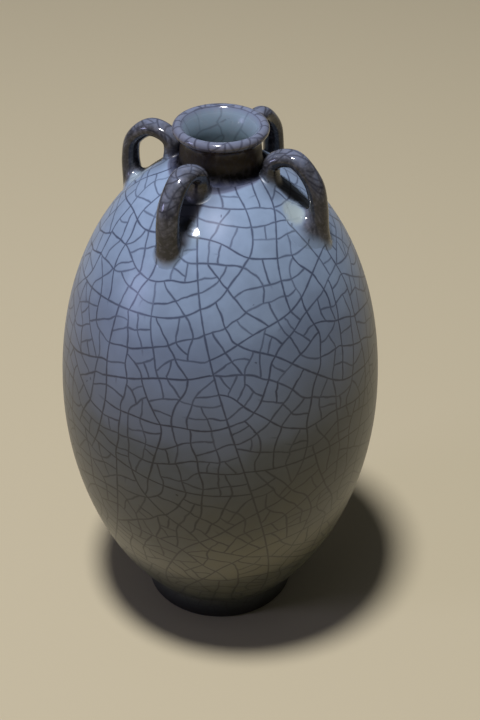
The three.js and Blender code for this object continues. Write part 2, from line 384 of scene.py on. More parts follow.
def grow_net(width, height, scale, cell_area, seed):
    """Splits a sheet of the given width and height until each cell is under cell_area(height) in mm2.

    scale(height) is how many millimetres one unit of the sheet is. Returns a list of cracks.
    """
    rng = np.random.default_rng(seed)
    seam, whole = sheet_outline(width, height, scale, rng)
    cracks = [new_crack(seam, SEAM_STRENGTH)]
    waiting = [whole]
    cells = 0
    while waiting:
        corners, owners, stretches = waiting.pop()
        area, centre = area_and_centre(corners)
        millimetres = scale(centre[1])
        size = abs(area) * millimetres**2
        limit = cell_area(centre[1]) * rng.uniform(*CELL_SPREAD)
        done = size < limit
        found = None
        if not done or rng.random() < OPEN_END_CHANCE:
            found = best_split((corners, owners, stretches), cracks, CRACK_STEP / millimetres, rng)
        if found is None or (found["compact"] < LEAST_COMPACT and size < STRAGGLY_SIZE * limit):
            cells += 1
            continue
        ends = [int(owners[edge]) for edge in found["edges"]]
        line = found["line"]
        name = len(cracks)
        if done:
            line = line[: max(3, int(len(line) * rng.uniform(*OPEN_END_SHARES)))]
            cracks.append(new_crack(line, OPEN_STRENGTH, (ends[0], -1), True))
        else:
            age = min(math.log2(size / limit + 1) / 4, 1)
            strength = np.clip(rng.normal(YOUNG_STRENGTH + OLD_EXTRA * age, STRENGTH_SPREAD), 0.5, 1)
            cracks.append(new_crack(line, float(strength), ends))
        ways = (line[0] - line[1], line[-1] - line[-2])
        for end, (owner, edge, meeting) in enumerate(zip(ends, found["edges"], found["meetings"])):
            if owner >= 1 and not (done and end == 1):
                join_on(cracks, name, end, ways[end], owner, stretches[edge], meeting)
        if done:
            cells += 1
            continue
        steps = np.arange(len(line) - 1)
        own = np.full(len(steps), name)
        first, last = found["edges"]
        for path, order, edge, rest in (
            (line[::-1], steps[::-1], first, found["near"]),
            (line, steps, last, found["far"]),
        ):
            part_owners = np.concatenate([own, owners[[edge]], owners[rest]])
            part_stretches = np.concatenate([order, stretches[[edge]], stretches[rest]])
            waiting.append((np.vstack([path, corners[rest]]), part_owners, part_stretches))
    print(f"net of {len(cracks)} cracks and {cells} cells")
    return cracks


# %% Laying the net on a surface
def laid_on(cracks, place):
    """Every short stretch of every crack, put on its surface by place(points)."""
    counts = [len(crack["line"]) for crack in cracks]
    lines = np.split(place(np.vstack([crack["line"] for crack in cracks])), np.cumsum(counts)[:-1])
    rows = {key: [] for key in ("start", "end", "from", "crack", "length", "strength", "fades")}
    for name, (crack, line) in enumerate(zip(cracks, lines)):
        length = distances(line)
        for key, values in (("start", line[:-1]), ("end", line[1:]), ("from", length[:-1])):
            rows[key].append(values)
        same = {"crack": name, "length": length[-1], "strength": crack["strength"], "fades": crack["fades"]}
        for key, value in same.items():
            rows[key].append(np.full(len(line) - 1, value))
    laid = {key: np.concatenate(value) for key, value in rows.items()}
    for key in ("ends", "partners"):
        laid[key] = np.array([crack[key] for crack in cracks])
    laid["second_point"] = np.array([line[1] for line in lines])
    laid["last_but_one"] = np.array([line[-2] for line in lines])
    return laid


def together(low_net, high_net):
    """Two laid nets as one, with the second one's crack numbers moved up."""
    before = len(low_net["ends"])
    moved = dict(high_net, crack=high_net["crack"] + before)
    for key in ("ends", "partners"):
        moved[key] = np.where(high_net[key] >= 0, high_net[key] + before, -1)
    return {key: np.concatenate([low_net[key], moved[key]]) for key in low_net}


# %% [markdown]
# ## From cracks to the mesh
# The finish has to know how far each spot of the surface is from the nearest crack. Distance to a
# straight line is a straight-line function, so a mesh carries it exactly: every face takes the crack
# nearest to its middle, and each of its corners stores its own signed distance to that one line. Between
# the corners the renderer fills in the true distance, and a crack narrower than a face stays crisp on it.
# A second distance does the same for the crack that meets it. Where the second one only comes up to the
# first from one side, a third number says so, and the shader ends it.

# %% Distances to the nearest two cracks
NO_CRACK = 9.0  # mm, the distance that stands for no crack near
CRACKS_WITHIN = 1.8  # mm above and below a row of faces
BRANCH_REACH = 1.3
FADE_LENGTH = 1.6


def to_stretches(points, start, end):
    """Squared distance from each point to each stretch: to its line, or to its nearer end past either end.

    With p from the start to the point, w along the stretch and t = p.w / w.w kept within 0 and 1, it is
    p.p - 2 t p.w + t t w.w.
    """
    way = end - start
    length = np.maximum((way * way).sum(1), TINY)
    middle = points.mean(0)
    points, start = points - middle, start - middle
    along = points @ way.T - (start * way).sum(1)
    share = np.clip(along / length, 0, 1)
    straight = (points * points).sum(1)[:, None] - 2 * points @ start.T + (start * start).sum(1)
    return straight + share * (share * length - 2 * along)


def signed(corners, normals, net, chosen):
    """Each corner's signed distance from its face's chosen stretch, and how far along the crack it is."""
    start = net["start"][chosen]
    way = unit(net["end"][chosen] - start)
    beside = np.cross(normals, way)
    offset = corners - start[:, None]
    return (offset * beside[:, None]).sum(2), net["from"][chosen, None] + (offset * way[:, None]).sum(2)


def strengths(along, net, chosen):
    """How dark the crack is at each corner. A crack that stops in the open fades out towards its tip."""
    left = np.clip((net["length"][chosen, None] - along) / FADE_LENGTH, 0, 1)
    return net["strength"][chosen, None] * np.where(net["fades"][chosen, None], left, 1.0)


def no_cracks(shape):
    """Crack numbers (distance, strength, ends here) for corners that have no crack near."""
    nothing = np.zeros(shape + (3,))
    nothing[..., 0] = NO_CRACK
    return nothing


def crack_numbers(corners, net):
    """For faces of one row: (distance, strength, ends here) to the nearest crack, and for the next one."""
    middle = corners.mean(1)
    normals = unit(np.cross(corners[:, 2] - corners[:, 0], corners[:, 3] - corners[:, 1]))
    low, high = middle[:, 2].min() - CRACKS_WITHIN, middle[:, 2].max() + CRACKS_WITHIN
    height = net["start"][:, 2]
    near = np.nonzero((height > low) & (height < high))[0]
    if len(near) < 2:
        return no_cracks(corners.shape[:2]), no_cracks(corners.shape[:2])
    gap = to_stretches(middle, net["start"][near], net["end"][near])
    first = near[gap.argmin(1)]
    crack, own = net["crack"][near][None, :], net["crack"][first]
    partners = net["partners"][own]
    other = (crack != own[:, None]) & (crack != partners[:, :1]) & (crack != partners[:, 1:])
    second = near[np.where(other, gap, np.inf).argmin(1)]

    def comes_up_to(branch, through):
        """Whether the branch's crack starts or ends on the other crack, close to here."""
        along = signed(middle[:, None], normals, net, branch)[1][:, 0]
        ends = net["ends"][net["crack"][branch]]
        target = net["crack"][through]
        at_start = (ends[:, 0] == target) & (along < BRANCH_REACH)
        at_end = (ends[:, 1] == target) & (along > net["length"][branch] - BRANCH_REACH)
        return at_start, at_end

    first_start, first_end = comes_up_to(first, second)
    swap = first_start | first_end
    first, second = np.where(swap, second, first), np.where(swap, first, second)
    at_start, at_end = comes_up_to(second, first)
    ends_here = at_start | at_end
    branch = net["crack"][second]
    inner = np.where(at_start[:, None], net["second_point"][branch], net["last_but_one"][branch])
    beyond = signed(inner[:, None], normals, net, first)[0] < 0
    flip = np.where(ends_here[:, None] & beyond, -1.0, 1.0)
    first_distance, first_along = signed(corners, normals, net, first)
    second_distance, second_along = signed(corners, normals, net, second)
    flag = np.repeat(ends_here[:, None].astype(float), 4, axis=1)
    one = np.stack([first_distance * flip, strengths(first_along, net, first), flag], axis=2)
    two = np.stack([second_distance, strengths(second_along, net, second), 0 * flag], axis=2)
    return one, two


# %% [markdown]
# ## Surfaces to meshes
# Each piece is a grid of points, in rows and columns, that closes on itself round the columns. A row can
# be drawn together to a pole, or the last row can join the first, as on a ring. Smooth shading is kept
# for the curved parts, and an edge is sharp only where two faces meet at more than 50 degrees.

# %% Mesh helpers
SHARP_ANGLE = math.radians(50)


def turned(profile, columns):
    """A surface of revolution: the point (r, z) goes to (r cos a, r sin a, z) for each angle a."""
    turn = np.linspace(0, FULL_TURN, columns, endpoint=False)
    radius, height = profile[:, 0, None], profile[:, 1, None]
    return np.stack([radius * np.cos(turn), radius * np.sin(turn), height + 0 * turn], axis=2)


def quads(rows, columns, ring):
    """Faces between neighbouring rows and columns, by the rule row x columns + column for each corner."""
    row = np.arange(rows if ring else rows - 1)[:, None]
    column = np.arange(columns)[None, :]
    beside = (column + 1) % columns
    low, high = row * columns, (row + 1) % rows * columns
    corners = [low + column, low + beside, high + beside, high + column]
    return np.stack(np.broadcast_arrays(*corners), axis=2)


def fan(row, columns, pole, flip):
    """Triangles from one row of points to a single pole."""
    column = np.arange(columns)
    order = [row * columns + column, row * columns + (column + 1) % columns]
    return np.stack((order[::-1] if flip else order) + [np.full(columns, pole)], axis=1)


def keep(mesh, name, kind, domain, values, padding):
    """Stores one number or three for each point or corner. Those of the poles come last and are padding."""
    layer = mesh.attributes.new(name, kind, domain)
    padded = np.tile(np.array(padding, np.float32), (len(layer.data), 1))
    values = values.reshape(-1, len(padding))
    padded[: len(values)] = values
    layer.data.foreach_set("vector" if len(padding) == 3 else "value", padded.ravel())


def make_piece(name, grid, corner_values, point_values, ring=False, poles=()):
    """A closed mesh from a grid in millimetres, with extra numbers kept as attributes of the mesh."""
    rows, columns = grid.shape[:2]
    points = grid.reshape(-1, 3)
    squares = quads(rows, columns, ring).reshape(-1, 4)
    triangles = np.zeros((0, 3), int)
    for row, pole, flip in zip((0, rows - 1), poles, (True, False)):
        triangles = np.vstack([triangles, fan(row, columns, len(points), flip)])
        points = np.vstack([points, np.asarray(pole, float)[None, :]])
    mesh = bpy.data.meshes.new(name)
    mesh.vertices.add(len(points))
    mesh.vertices.foreach_set("co", (points * MM).astype(np.float32).ravel())
    corners = np.concatenate([squares.ravel(), triangles.ravel()])
    mesh.loops.add(len(corners))
    mesh.loops.foreach_set("vertex_index", corners.astype(np.int32))
    mesh.polygons.add(len(squares) + len(triangles))
    starts = np.concatenate([np.arange(len(squares)) * 4, squares.size + np.arange(len(triangles)) * 3])
    mesh.polygons.foreach_set("loop_start", starts.astype(np.int32))
    mesh.update(calc_edges=True)
    mesh.shade_smooth()
    mesh.set_sharp_from_angle(angle=SHARP_ANGLE)
    for key, values in corner_values.items():
        keep(mesh, key, "FLOAT_VECTOR", "CORNER", values, (NO_CRACK, 0, 0))
    for key, values in point_values.items():
        keep(mesh, key, "FLOAT", "POINT", values, (0,))
    piece = bpy.data.objects.new(name, mesh)
    bpy.context.scene.collection.objects.link(piece)
    print(f"{name}: {len(points)} points, {len(squares) * 2 + len(triangles)} triangles")
    return piece


def row_distances(grid, length, first, count):
    """The distance along the profile for a number of a grid's rows, and 0 for its other rows."""
    far = np.zeros(grid.shape[:2])
    far[first : first + count] = np.linspace(0, length, count)[:, None]
    return far


def crack_values(grid, net, rows_with_cracks, ring=False):
    """Crack numbers for every quad of a grid, worked out row by row; other rows are left without cracks."""
    squares = quads(*grid.shape[:2], ring)
    first, second = no_cracks(squares.shape), no_cracks(squares.shape)
    for row in rows_with_cracks:
        first[row], second[row] = crack_numbers(grid.reshape(-1, 3)[squares[row]], net)
    return {"first_crack": first, "second_crack": second}


# %% [markdown]
# ## Nets for the thrown parts
# The foot and the body are one sheet. Its height is the sum of the steps along the profile, each divided
# by the radius there. On the narrow band of the lip the glaze could only shrink along the roll, so its
# cracks run straight across it every 3 mm, and a long one follows the lip's inner edge. A sheet as narrow
# as that splits into just such rungs by itself. The mouth has only a few cracks.

# %% Sheets and their nets
SEAM_TURN = math.radians(118)  # the sheet's seam is a long crack, on the side away from the camera
RIM_WAVES = (3, 5, 8, 11)
RIM_WAVE_SIZE = 0.018
CELL_MARKS = [0, foot_length, foot_length + 50, foot_length + body_length - 35]
CELL_AREAS = [20, 24, 28, 31]  # the largest cells at those distances from the foot, in mm2
LIP_CELLS, NECK_CELLS, MOUTH_CELLS = 15.0, 12.0, 45.0


def band_net(line, cell_area, seed, rim_strength=0.0, darkness=1.0):
    """A net on the surface that a profile line turns, and where asked a wavy crack round its high rim."""
    steps = np.linalg.norm(np.diff(line, axis=0), axis=1)
    middle_radius = (line[1:, 0] + line[:-1, 0]) / 2
    heights = np.concatenate([[0.0], np.cumsum(steps / middle_radius)])
    top = float(heights[-1])
    far = distances(line)

    def scale(height):
        """Millimetres for one unit of the sheet: the radius at that height of the sheet."""
        return float(np.interp(height, heights, line[:, 0]))

    def place(points):
        """A point (angle, height of the sheet) in space: its profile point turned by the angle."""
        turn = points[:, 0] + SEAM_TURN
        radius, level = (np.interp(points[:, 1], heights, line[:, axis]) for axis in (0, 1))
        return np.stack([radius * np.cos(turn), radius * np.sin(turn), level], axis=1)

    cracks = grow_net(FULL_TURN, top, scale, lambda height: cell_area(np.interp(height, heights, far)), seed)
    if rim_strength > 0:
        rng = np.random.default_rng(seed + 100)
        around = np.linspace(0, FULL_TURN, 121)
        level = np.clip(top + waves(around, RIM_WAVES, RIM_WAVE_SIZE, rng), 0, top)
        cracks.append(new_crack(np.stack([around, level], axis=1), rim_strength))
    laid = laid_on(cracks, place)
    laid["strength"] = laid["strength"] * darkness
    return laid


jar_line = joined(foot_outside, body_outside)
jar_net = band_net(jar_line, lambda far: float(np.interp(far, CELL_MARKS, CELL_AREAS)), 11)
lip_net = band_net(lip_over, lambda far: LIP_CELLS, 22, rim_strength=0.8)
neck_net = together(band_net(neck_outside, lambda far: NECK_CELLS, 21), lip_net)
mouth_net = band_net(funnel, lambda far: MOUTH_CELLS, 24, darkness=0.5)

# %% [markdown]
# ## Where the glaze pooled, and the painted shade under the lugs
# The strip of shoulder under each lug's arch is painted dark: painted shade where the arch shades it, over
# glaze that also stayed thin there. A soft grey patch about its inner root is painted shade too. Beside its
# outer root the running glaze stood still in a pale pool about 6 mm wide, thick enough not to crack. The
# potter set the lugs by eye, so each has its own place and shape, and its own marks. Seen from above, turn
# is the lug's place round the jar and twist turns its inner root, in degrees. The rest is in mm, but for
# girth, fullness and depth, where 1 is the usual:
#
# - drop: how far the outer bend lies below the top; tuck: how far it is drawn in
# - splay: how far the outer root stands out
# - web: the web of glaze at the outer root, as its turn from the eye, its reach and its fullness
# - pool: its turn from the lug and its depth
# - shaded_strip: the painted shade under the arch, as its low side, its high side and how much it narrows
#   outwards
# - root_shade: where the painted grey shade about the inner root lies, outwards and aside
# - thick_root: how much glaze lies on the inner root

# %% The lugs and their marks
LUGS = {
    "lug_front": {
        "turn": -0.9, "twist": 4.8, "drop": 5.2, "tuck": 0.0, "splay": 0.4, "girth": 1.06, "seed": 3,
        "web": (-12, 6.2, 0.7), "pool": (9.0, 0.15), "shaded_strip": (-2.7, 3.6, 0.0), "root_shade": (14.2, 3.2),
        "thick_root": 0.0,
    },
    "lug_right": {
        "turn": 93.5, "twist": 0.0, "drop": 5.2, "tuck": 0.15, "splay": 2.0, "girth": 1.0, "seed": 5,
        "web": (46, 8.6, 1.3), "pool": (-10.5, 1.0), "shaded_strip": (-1.9, 2.7, 3.6), "root_shade": (15.2, -2.8),
        "thick_root": 0.3,
    },
    "lug_rear": {
        "turn": 176.2, "twist": 0.0, "drop": 5.0, "tuck": 0.0, "splay": 1.0, "girth": 1.0, "seed": 6,
        "web": (0, 3.5, 0.3), "pool": (12.0, 0.6), "shaded_strip": (-2.7, 2.7, 0.0), "root_shade": (14.5, -2.6),
        "thick_root": 0.0,
    },
    "lug_left": {
        "turn": 270.3, "twist": 0.0, "drop": 4.2, "tuck": 0.0, "splay": -0.1, "girth": 1.0, "seed": 8,
        "web": (-40, 4.5, 0.6), "pool": (8.0, 0.6), "shaded_strip": (-2.7, 2.2, 0.0), "root_shade": (14.5, 2.6),
        "thick_root": 0.75,
    },
}
MARKS_FROM, MARKS_FULL = 105, 115  # mm up: no pool or strip lies below the shoulder
POOL_OUT = 22.0
POOL_RADIUS = 3.1
STRIP_FROM, STRIP_TO = 12.0, 25.0
STRIP_BLUR = 0.8
NARROWING_FROM, NARROWING_TO = 19.0, 22.5
# The grey patch about each inner root is painted shade.
ROOT_SHADE_SPREAD = 3.3
ROOT_SHADE_DEPTH = 0.6


def smooth(values, start, end):
    """0 at the start and before it, 1 at the end and past it, and between them 3 t t - 2 t t t."""
    share = np.clip((values - start) / (end - start), 0, 1)
    return share * share * (3 - 2 * share)


def pools_and_painted_shade(grid):
    """How much of a pool, and of the painted shade under an arch and about its inner root, each point of a
    grid lies in.
    """
    x, y, z = (grid[..., axis] for axis in range(3))
    pool, shaded_strip = 0 * x, 0 * x
    on_shoulder = smooth(z, MARKS_FROM, MARKS_FULL)
    for lug in LUGS.values():
        pool_turn, depth = lug["pool"]
        centre = math.radians(lug["turn"] + pool_turn)
        gap = np.hypot(x - POOL_OUT * math.sin(centre), y + POOL_OUT * math.cos(centre))
        pool = np.maximum(pool, smooth(gap, POOL_RADIUS + 0.5, POOL_RADIUS - 1.0) * on_shoulder * depth)
        about = math.radians(lug["turn"] + lug["twist"] / 3)
        out = x * math.sin(about) - y * math.cos(about)
        aside = x * math.cos(about) + y * math.sin(about)
        # The strip under the arch is painted shade, over glaze that is also thin there.
        low, high, narrowing = lug["shaded_strip"]
        low = low + narrowing * smooth(out, NARROWING_FROM, NARROWING_TO)
        within = smooth(aside, low - STRIP_BLUR, low + STRIP_BLUR)
        within = within * smooth(aside, high + STRIP_BLUR, high - STRIP_BLUR)
        within = within * smooth(out, STRIP_FROM - 1, STRIP_FROM) * smooth(out, STRIP_TO + 1, STRIP_TO)
        # The grey patch about the inner root is painted shade, where the lug meets the shoulder.
        mark_out, mark_aside = lug["root_shade"]
        from_mark = np.hypot(out - mark_out, aside - mark_aside) / ROOT_SHADE_SPREAD
        mark = ROOT_SHADE_DEPTH * np.exp(-(from_mark**2))
        shaded_strip = np.maximum(shaded_strip, np.maximum(within, mark) * on_shoulder)
    return {"pool": pool, "shaded_strip": shaded_strip}


# %% [markdown]
# ## The body, the neck and the foot ring
# Each is a profile turned about the axis. The body is a true hollow shell: its profile runs from the
# middle of the underside, up the outside, in under the neck, and down the hollow to the middle of the
# floor. Its faces are about two thirds of a millimetre, fine enough for the cracks and its outline.

# %% The body
BODY_COLUMNS = 400
BODY_ROWS = 196
HOLLOW_ROWS = 26
POLE_RADIUS = 0.6  # mm, the small ring round each pole

hollow = body_outside + BODY_WALL * left_of(unit(np.gradient(body_outside, axis=0)))
hollow = hollow[(hollow[:, 1] > FLOOR_HEIGHT) & (hollow[:, 0] > BORE_RADIUS)]
hollow = np.vstack([[hollow[0, 0] - 0.3, FLOOR_HEIGHT], hollow, [BORE_RADIUS, hollow[-1, 1] + 0.4]])
underside = [[POLE_RADIUS, UNDERSIDE_HEIGHT], [9.0, 9.4], [FOOT_INSIDE_TOP, FOOT_TOP[1]]]
body_profile = np.vstack(
    [
        underside,
        evenly(body_outside, BODY_ROWS),
        [[BORE_RADIUS, SHOULDER[1]]],
        evenly(hollow, HOLLOW_ROWS)[::-1],
        [[POLE_RADIUS, FLOOR_HEIGHT]],
    ]
)
body_grid = turned(body_profile, BODY_COLUMNS)
first_row = len(underside)
above_foot = row_distances(body_grid, body_length, first_row, BODY_ROWS)
body = make_piece(
    "jar_body",
    body_grid,
    poles=([0, 0, UNDERSIDE_HEIGHT], [0, 0, FLOOR_HEIGHT]),
    corner_values=crack_values(body_grid, jar_net, range(first_row, first_row + BODY_ROWS - 1)),
    point_values={"along": above_foot, **pools_and_painted_shade(body_grid)},
)

# %% The neck with its rolled lip
NECK_COLUMNS = 288
NECK_ROWS = 110

neck_line = joined(neck_outside, lip_over, funnel)
mouth_length = distances(neck_line)[-1]
neck_grid = turned(evenly(neck_line, NECK_ROWS), NECK_COLUMNS)
up_neck = row_distances(neck_grid, mouth_length, 0, NECK_ROWS)
lip_end_row = int((neck_length + lip_length) / mouth_length * (NECK_ROWS - 1))
outer_cracks = crack_values(neck_grid, neck_net, range(lip_end_row), ring=True)
neck_cracks = crack_values(neck_grid, mouth_net, range(lip_end_row, NECK_ROWS - 1), ring=True)
for key, values in outer_cracks.items():
    neck_cracks[key][:lip_end_row] = values[:lip_end_row]
neck = make_piece(
    "neck_and_lip", neck_grid, ring=True, corner_values=neck_cracks, point_values={"along": up_neck}
)

# %% The foot ring
FOOT_COLUMNS = 360
FOOT_ROWS = 24
FOOT_INSIDE_ROWS = 14
FOOT_INSIDE_EDGE = [16.5, 1.0]

foot_inside = joined(
    np.array([[FOOT_INSIDE_TOP, FOOT_TOP[1]], FOOT_INSIDE_EDGE]),
    bezier([FOOT_INSIDE_EDGE, [16.4, 0.0], [17.4, 0.0]], 8),
)
foot_profile = np.vstack([evenly(foot_outside, FOOT_ROWS), evenly(foot_inside, FOOT_INSIDE_ROWS)])
foot_grid = turned(foot_profile, FOOT_COLUMNS)
foot = make_piece(
    "foot_ring_glazed",
    foot_grid,
    ring=True,
    corner_values=crack_values(foot_grid, jar_net, range(FOOT_ROWS - 1), ring=True),
    point_values={"along": row_distances(foot_grid, foot_length, 0, FOOT_ROWS)},
)

# %% [markdown]
# ## The lugs
# A lug is a roll of clay carried along an arch. Each point of its skin is the arch's centre line plus a
# turn about it, and the roll swells towards its roots. What makes a lug look pressed on and glazed,
# rather than stuck in, is the sweep at each root: every line of the skin leaves the roll a little above
# the shoulder and lands on it flat, along a Bezier curve whose middle control lies where the roll would
# cut the shoulder. On the side that faces the neck, glaze gathered at the outer root and set as a pool,
# so the sweep is far wider there.

# %% The arch
INNER_LEG = 14.2
OUTER_LEG = 25.0
ARCH_TOP = SHOULDER[1] + 5.5
INNER_DROP = 1.9
INNER_ROOT = 13.7
BOW = 1.2
SPLAY_AT_BOW = 0.15
TWIST_AT_TOP = 0.3
SINK = 4.5


def shoulder_height(radius):
    """The height of the body's outside at a radius on its shoulder, read off the profile."""
    upper = body_outside[body_outside[:, 1] > BELLY[1]][::-1]
    return float(np.interp(radius, upper[:, 0], upper[:, 1]))


def smooth_line(knots, count):
    """A centripetal Catmull-Rom curve: three rounds of mixing by time, the root of distance."""
    knots = np.vstack([2 * knots[0] - knots[1], knots, 2 * knots[-1] - knots[-2]])
    times = np.concatenate([[0.0], np.cumsum(np.sqrt(np.linalg.norm(np.diff(knots, axis=0), axis=1)))])
    parts = []
    for index in range(1, len(knots) - 2):
        p0, p1, p2, p3 = knots[index - 1 : index + 3]
        t0, t1, t2, t3 = times[index - 1 : index + 3]
        at = np.linspace(t1, t2, 60)[:, None]

        def mixed(first, second, low, high):
            """Goes from the first to the second as the time goes from low to high."""
            return first + (second - first) * (at - low) / (high - low)

        one, two, three = mixed(p0, p1, t0, t1), mixed(p1, p2, t1, t2), mixed(p2, p3, t2, t3)
        parts.append(mixed(mixed(one, two, t0, t2), mixed(two, three, t1, t3), t1, t2))
    return evenly(joined(*parts), count)


def arch_line(lug, count):
    """A lug's centre line: up the outer leg, over the top and down beside the neck."""
    outer_root = OUTER_LEG + lug["splay"]
    outer_height = shoulder_height(outer_root)
    bend = ARCH_TOP - lug["drop"]
    twist = lug["twist"]
    radius, height, turn = np.array(
        [
            [outer_root, outer_height - SINK, 0],
            [OUTER_LEG + BOW + SPLAY_AT_BOW * lug["splay"], (outer_height + bend) / 2, 0],
            [OUTER_LEG - lug["tuck"], bend, 0],
            [(INNER_LEG + OUTER_LEG) / 2, ARCH_TOP, twist * TWIST_AT_TOP],
            [INNER_LEG, ARCH_TOP - INNER_DROP, twist],
            [INNER_ROOT, shoulder_height(INNER_ROOT) - SINK, twist],
        ]
    ).T
    turn = np.radians(lug["turn"] + turn)
    return smooth_line(np.stack([radius * np.sin(turn), -radius * np.cos(turn), height], axis=1), count)


# %% Where the skin of the jar is
SKIN_FROM = 108  # mm up

skin = evenly(joined(body_outside[body_outside[:, 1] > SKIN_FROM], neck_outside), 520)
skin_normal = -left_of(unit(np.gradient(skin, axis=0)))


def nearest_skin(points):
    """The nearest profile point of the jar's skin for each point, as its place and its normal in space."""
    flat = points.reshape(-1, 3)
    radius = np.hypot(flat[:, 0], flat[:, 1])
    gap = (radius[:, None] - skin[:, 0]) ** 2 + (flat[:, 2][:, None] - skin[:, 1]) ** 2
    nearest = gap.argmin(1)
    away = flat[:, :2] / np.maximum(radius[:, None], TINY)
    place = np.column_stack([away * skin[nearest, 0, None], skin[nearest, 1]])
    normal = np.column_stack([away * skin_normal[nearest, 0, None], skin_normal[nearest, 1]])
    return place.reshape(points.shape), normal.reshape(points.shape)


def lift_above(points):
    """How far each point is above the jar's skin, measured along the skin's normal."""
    place, normal = nearest_skin(points)
    return ((points - place) * normal).sum(-1)


# %% The roll and its sweeps
LUG_COLUMNS = 64
ROLL_ROWS = 84
SWEEP_ROWS = 9
FINE_ROWS = 360
ROLL_THICKNESS = 4.3
ROLL_WIDTH = 5.5
OUTER_LEG_SWELL = 0.1
ROOT_SWELL = 0.3
ROOT_SWELL_LENGTH = 4.0
UNEVEN_WAVES, UNEVEN_SIZE = (2, 3, 5), 0.012
SWEEP_LIFT = 0.9
SWEEP_REACH = 0.9
LEAST_FALL = 0.45
WEB_LIFT = 3.0
WEB_NARROWNESS = 1.3
SUNK = 0.05
CAP_DEPTH, CAP_INSET = 0.7, 0.8


def roll_skin(lug):
    """The roll as a fine grid: centre + eyewards x cos a x thickness - across x sin a x width."""
    line = arch_line(lug, FINE_ROWS)
    facing = math.radians(lug["turn"])
    across = np.array([math.cos(facing), math.sin(facing), 0.0])
    eyewards = unit(np.cross(np.gradient(line, axis=0), across))
    at = np.linspace(0, 1, FINE_ROWS)
    from_root = np.minimum(at, at[::-1]) * distances(line)[-1]
    swell = 1 + ROOT_SWELL * np.exp(-((from_root / ROOT_SWELL_LENGTH) ** 2))
    swell = swell + OUTER_LEG_SWELL * np.clip(1 - 2 * at, 0, 1)
    rng = np.random.default_rng(lug["seed"])
    uneven = waves(math.pi * at, UNEVEN_WAVES, UNEVEN_SIZE, rng)
    girth = (lug["girth"] * swell * (1 + uneven))[:, None, None]
    turn = np.linspace(0, FULL_TURN, LUG_COLUMNS, endpoint=False)[None, :, None]
    flat = eyewards[:, None] * np.cos(turn) * ROLL_THICKNESS / 2
    side = across[None, None] * np.sin(turn) * ROLL_WIDTH / 2
    return line, line[:, None] + girth * (flat - side)


def read_rows(grid, at):
    """The grid's points at fractional rows, one for each column, by mixing the two rows around it."""
    low = np.clip(np.floor(at).astype(int), 0, len(grid) - 2)
    share = (at - low)[..., None]
    column = np.arange(grid.shape[1])[None, :]
    return grid[low, column] * (1 - share) + grid[low + 1, column] * share


def sweep(roll, line, at, inwards, web, reach=0.0, fill=0.0):
    """Rows from the roll's skin down to the jar's: a Bezier curve that ends flat on the skin.

    Its controls are the point on the roll, the point where the roll's own line would cut the skin, and a
    point of the skin further out. A web of glaze lifts the first and moves the last away.
    """
    top = read_rows(roll, at[None])[0]
    further = read_rows(roll, (at + inwards * 1.5)[None])[0]
    way = unit(further - top)
    place, normal = nearest_skin(top)
    lift = ((top - place) * normal).sum(1)
    fall = np.maximum(-(way * normal).sum(1), LEAST_FALL)
    foot_point = top + way * (lift / fall)[:, None]
    centre = line[np.clip(np.round(at).astype(int), 0, len(line) - 1)]
    outwards = top - centre
    outwards = unit(outwards - (outwards * normal).sum(1, keepdims=True) * normal)
    crossing = nearest_skin(foot_point)[0]
    landing, landing_normal = nearest_skin(crossing + outwards * (SWEEP_REACH + reach * web)[:, None])
    middle = crossing + normal * (fill * web)[:, None]
    share = np.linspace(0, 1, SWEEP_ROWS)[1:, None, None]
    rows = (1 - share) ** 2 * top + 2 * share * (1 - share) * middle + share**2 * landing
    rows = rows - landing_normal * SUNK * share**2
    return rows, landing - landing_normal * CAP_DEPTH - outwards * CAP_INSET


def crossings(lift, wanted):
    """For each column, the fractional rows where the lift first and last passes the wanted height."""
    above = lift > wanted
    column = np.arange(lift.shape[1])
    found = []
    for row, step in ((above.argmax(0), 1), (len(lift) - 1 - above[::-1].argmax(0), -1)):
        rise = lift[row, column] - lift[row - step, column]
        found.append(row - step * (lift[row, column] - wanted) / np.maximum(rise, 1e-6))
    return found


# %% Building a lug
OWN_CRACKS_ABOVE = 0.5  # mm above the jar's skin, under which the jar's own net goes on
ROLL_RADIUS = 2.6
LUG_CELLS = 7.0
THICK_ROOT_WITHIN = (17.0, 15.0)  # mm from the axis, where the glaze on an inner root ends and is whole
THICK_ROOT_BELOW = (141.5, 138.5)  # mm up, the same
POOL_COVER = 0.85


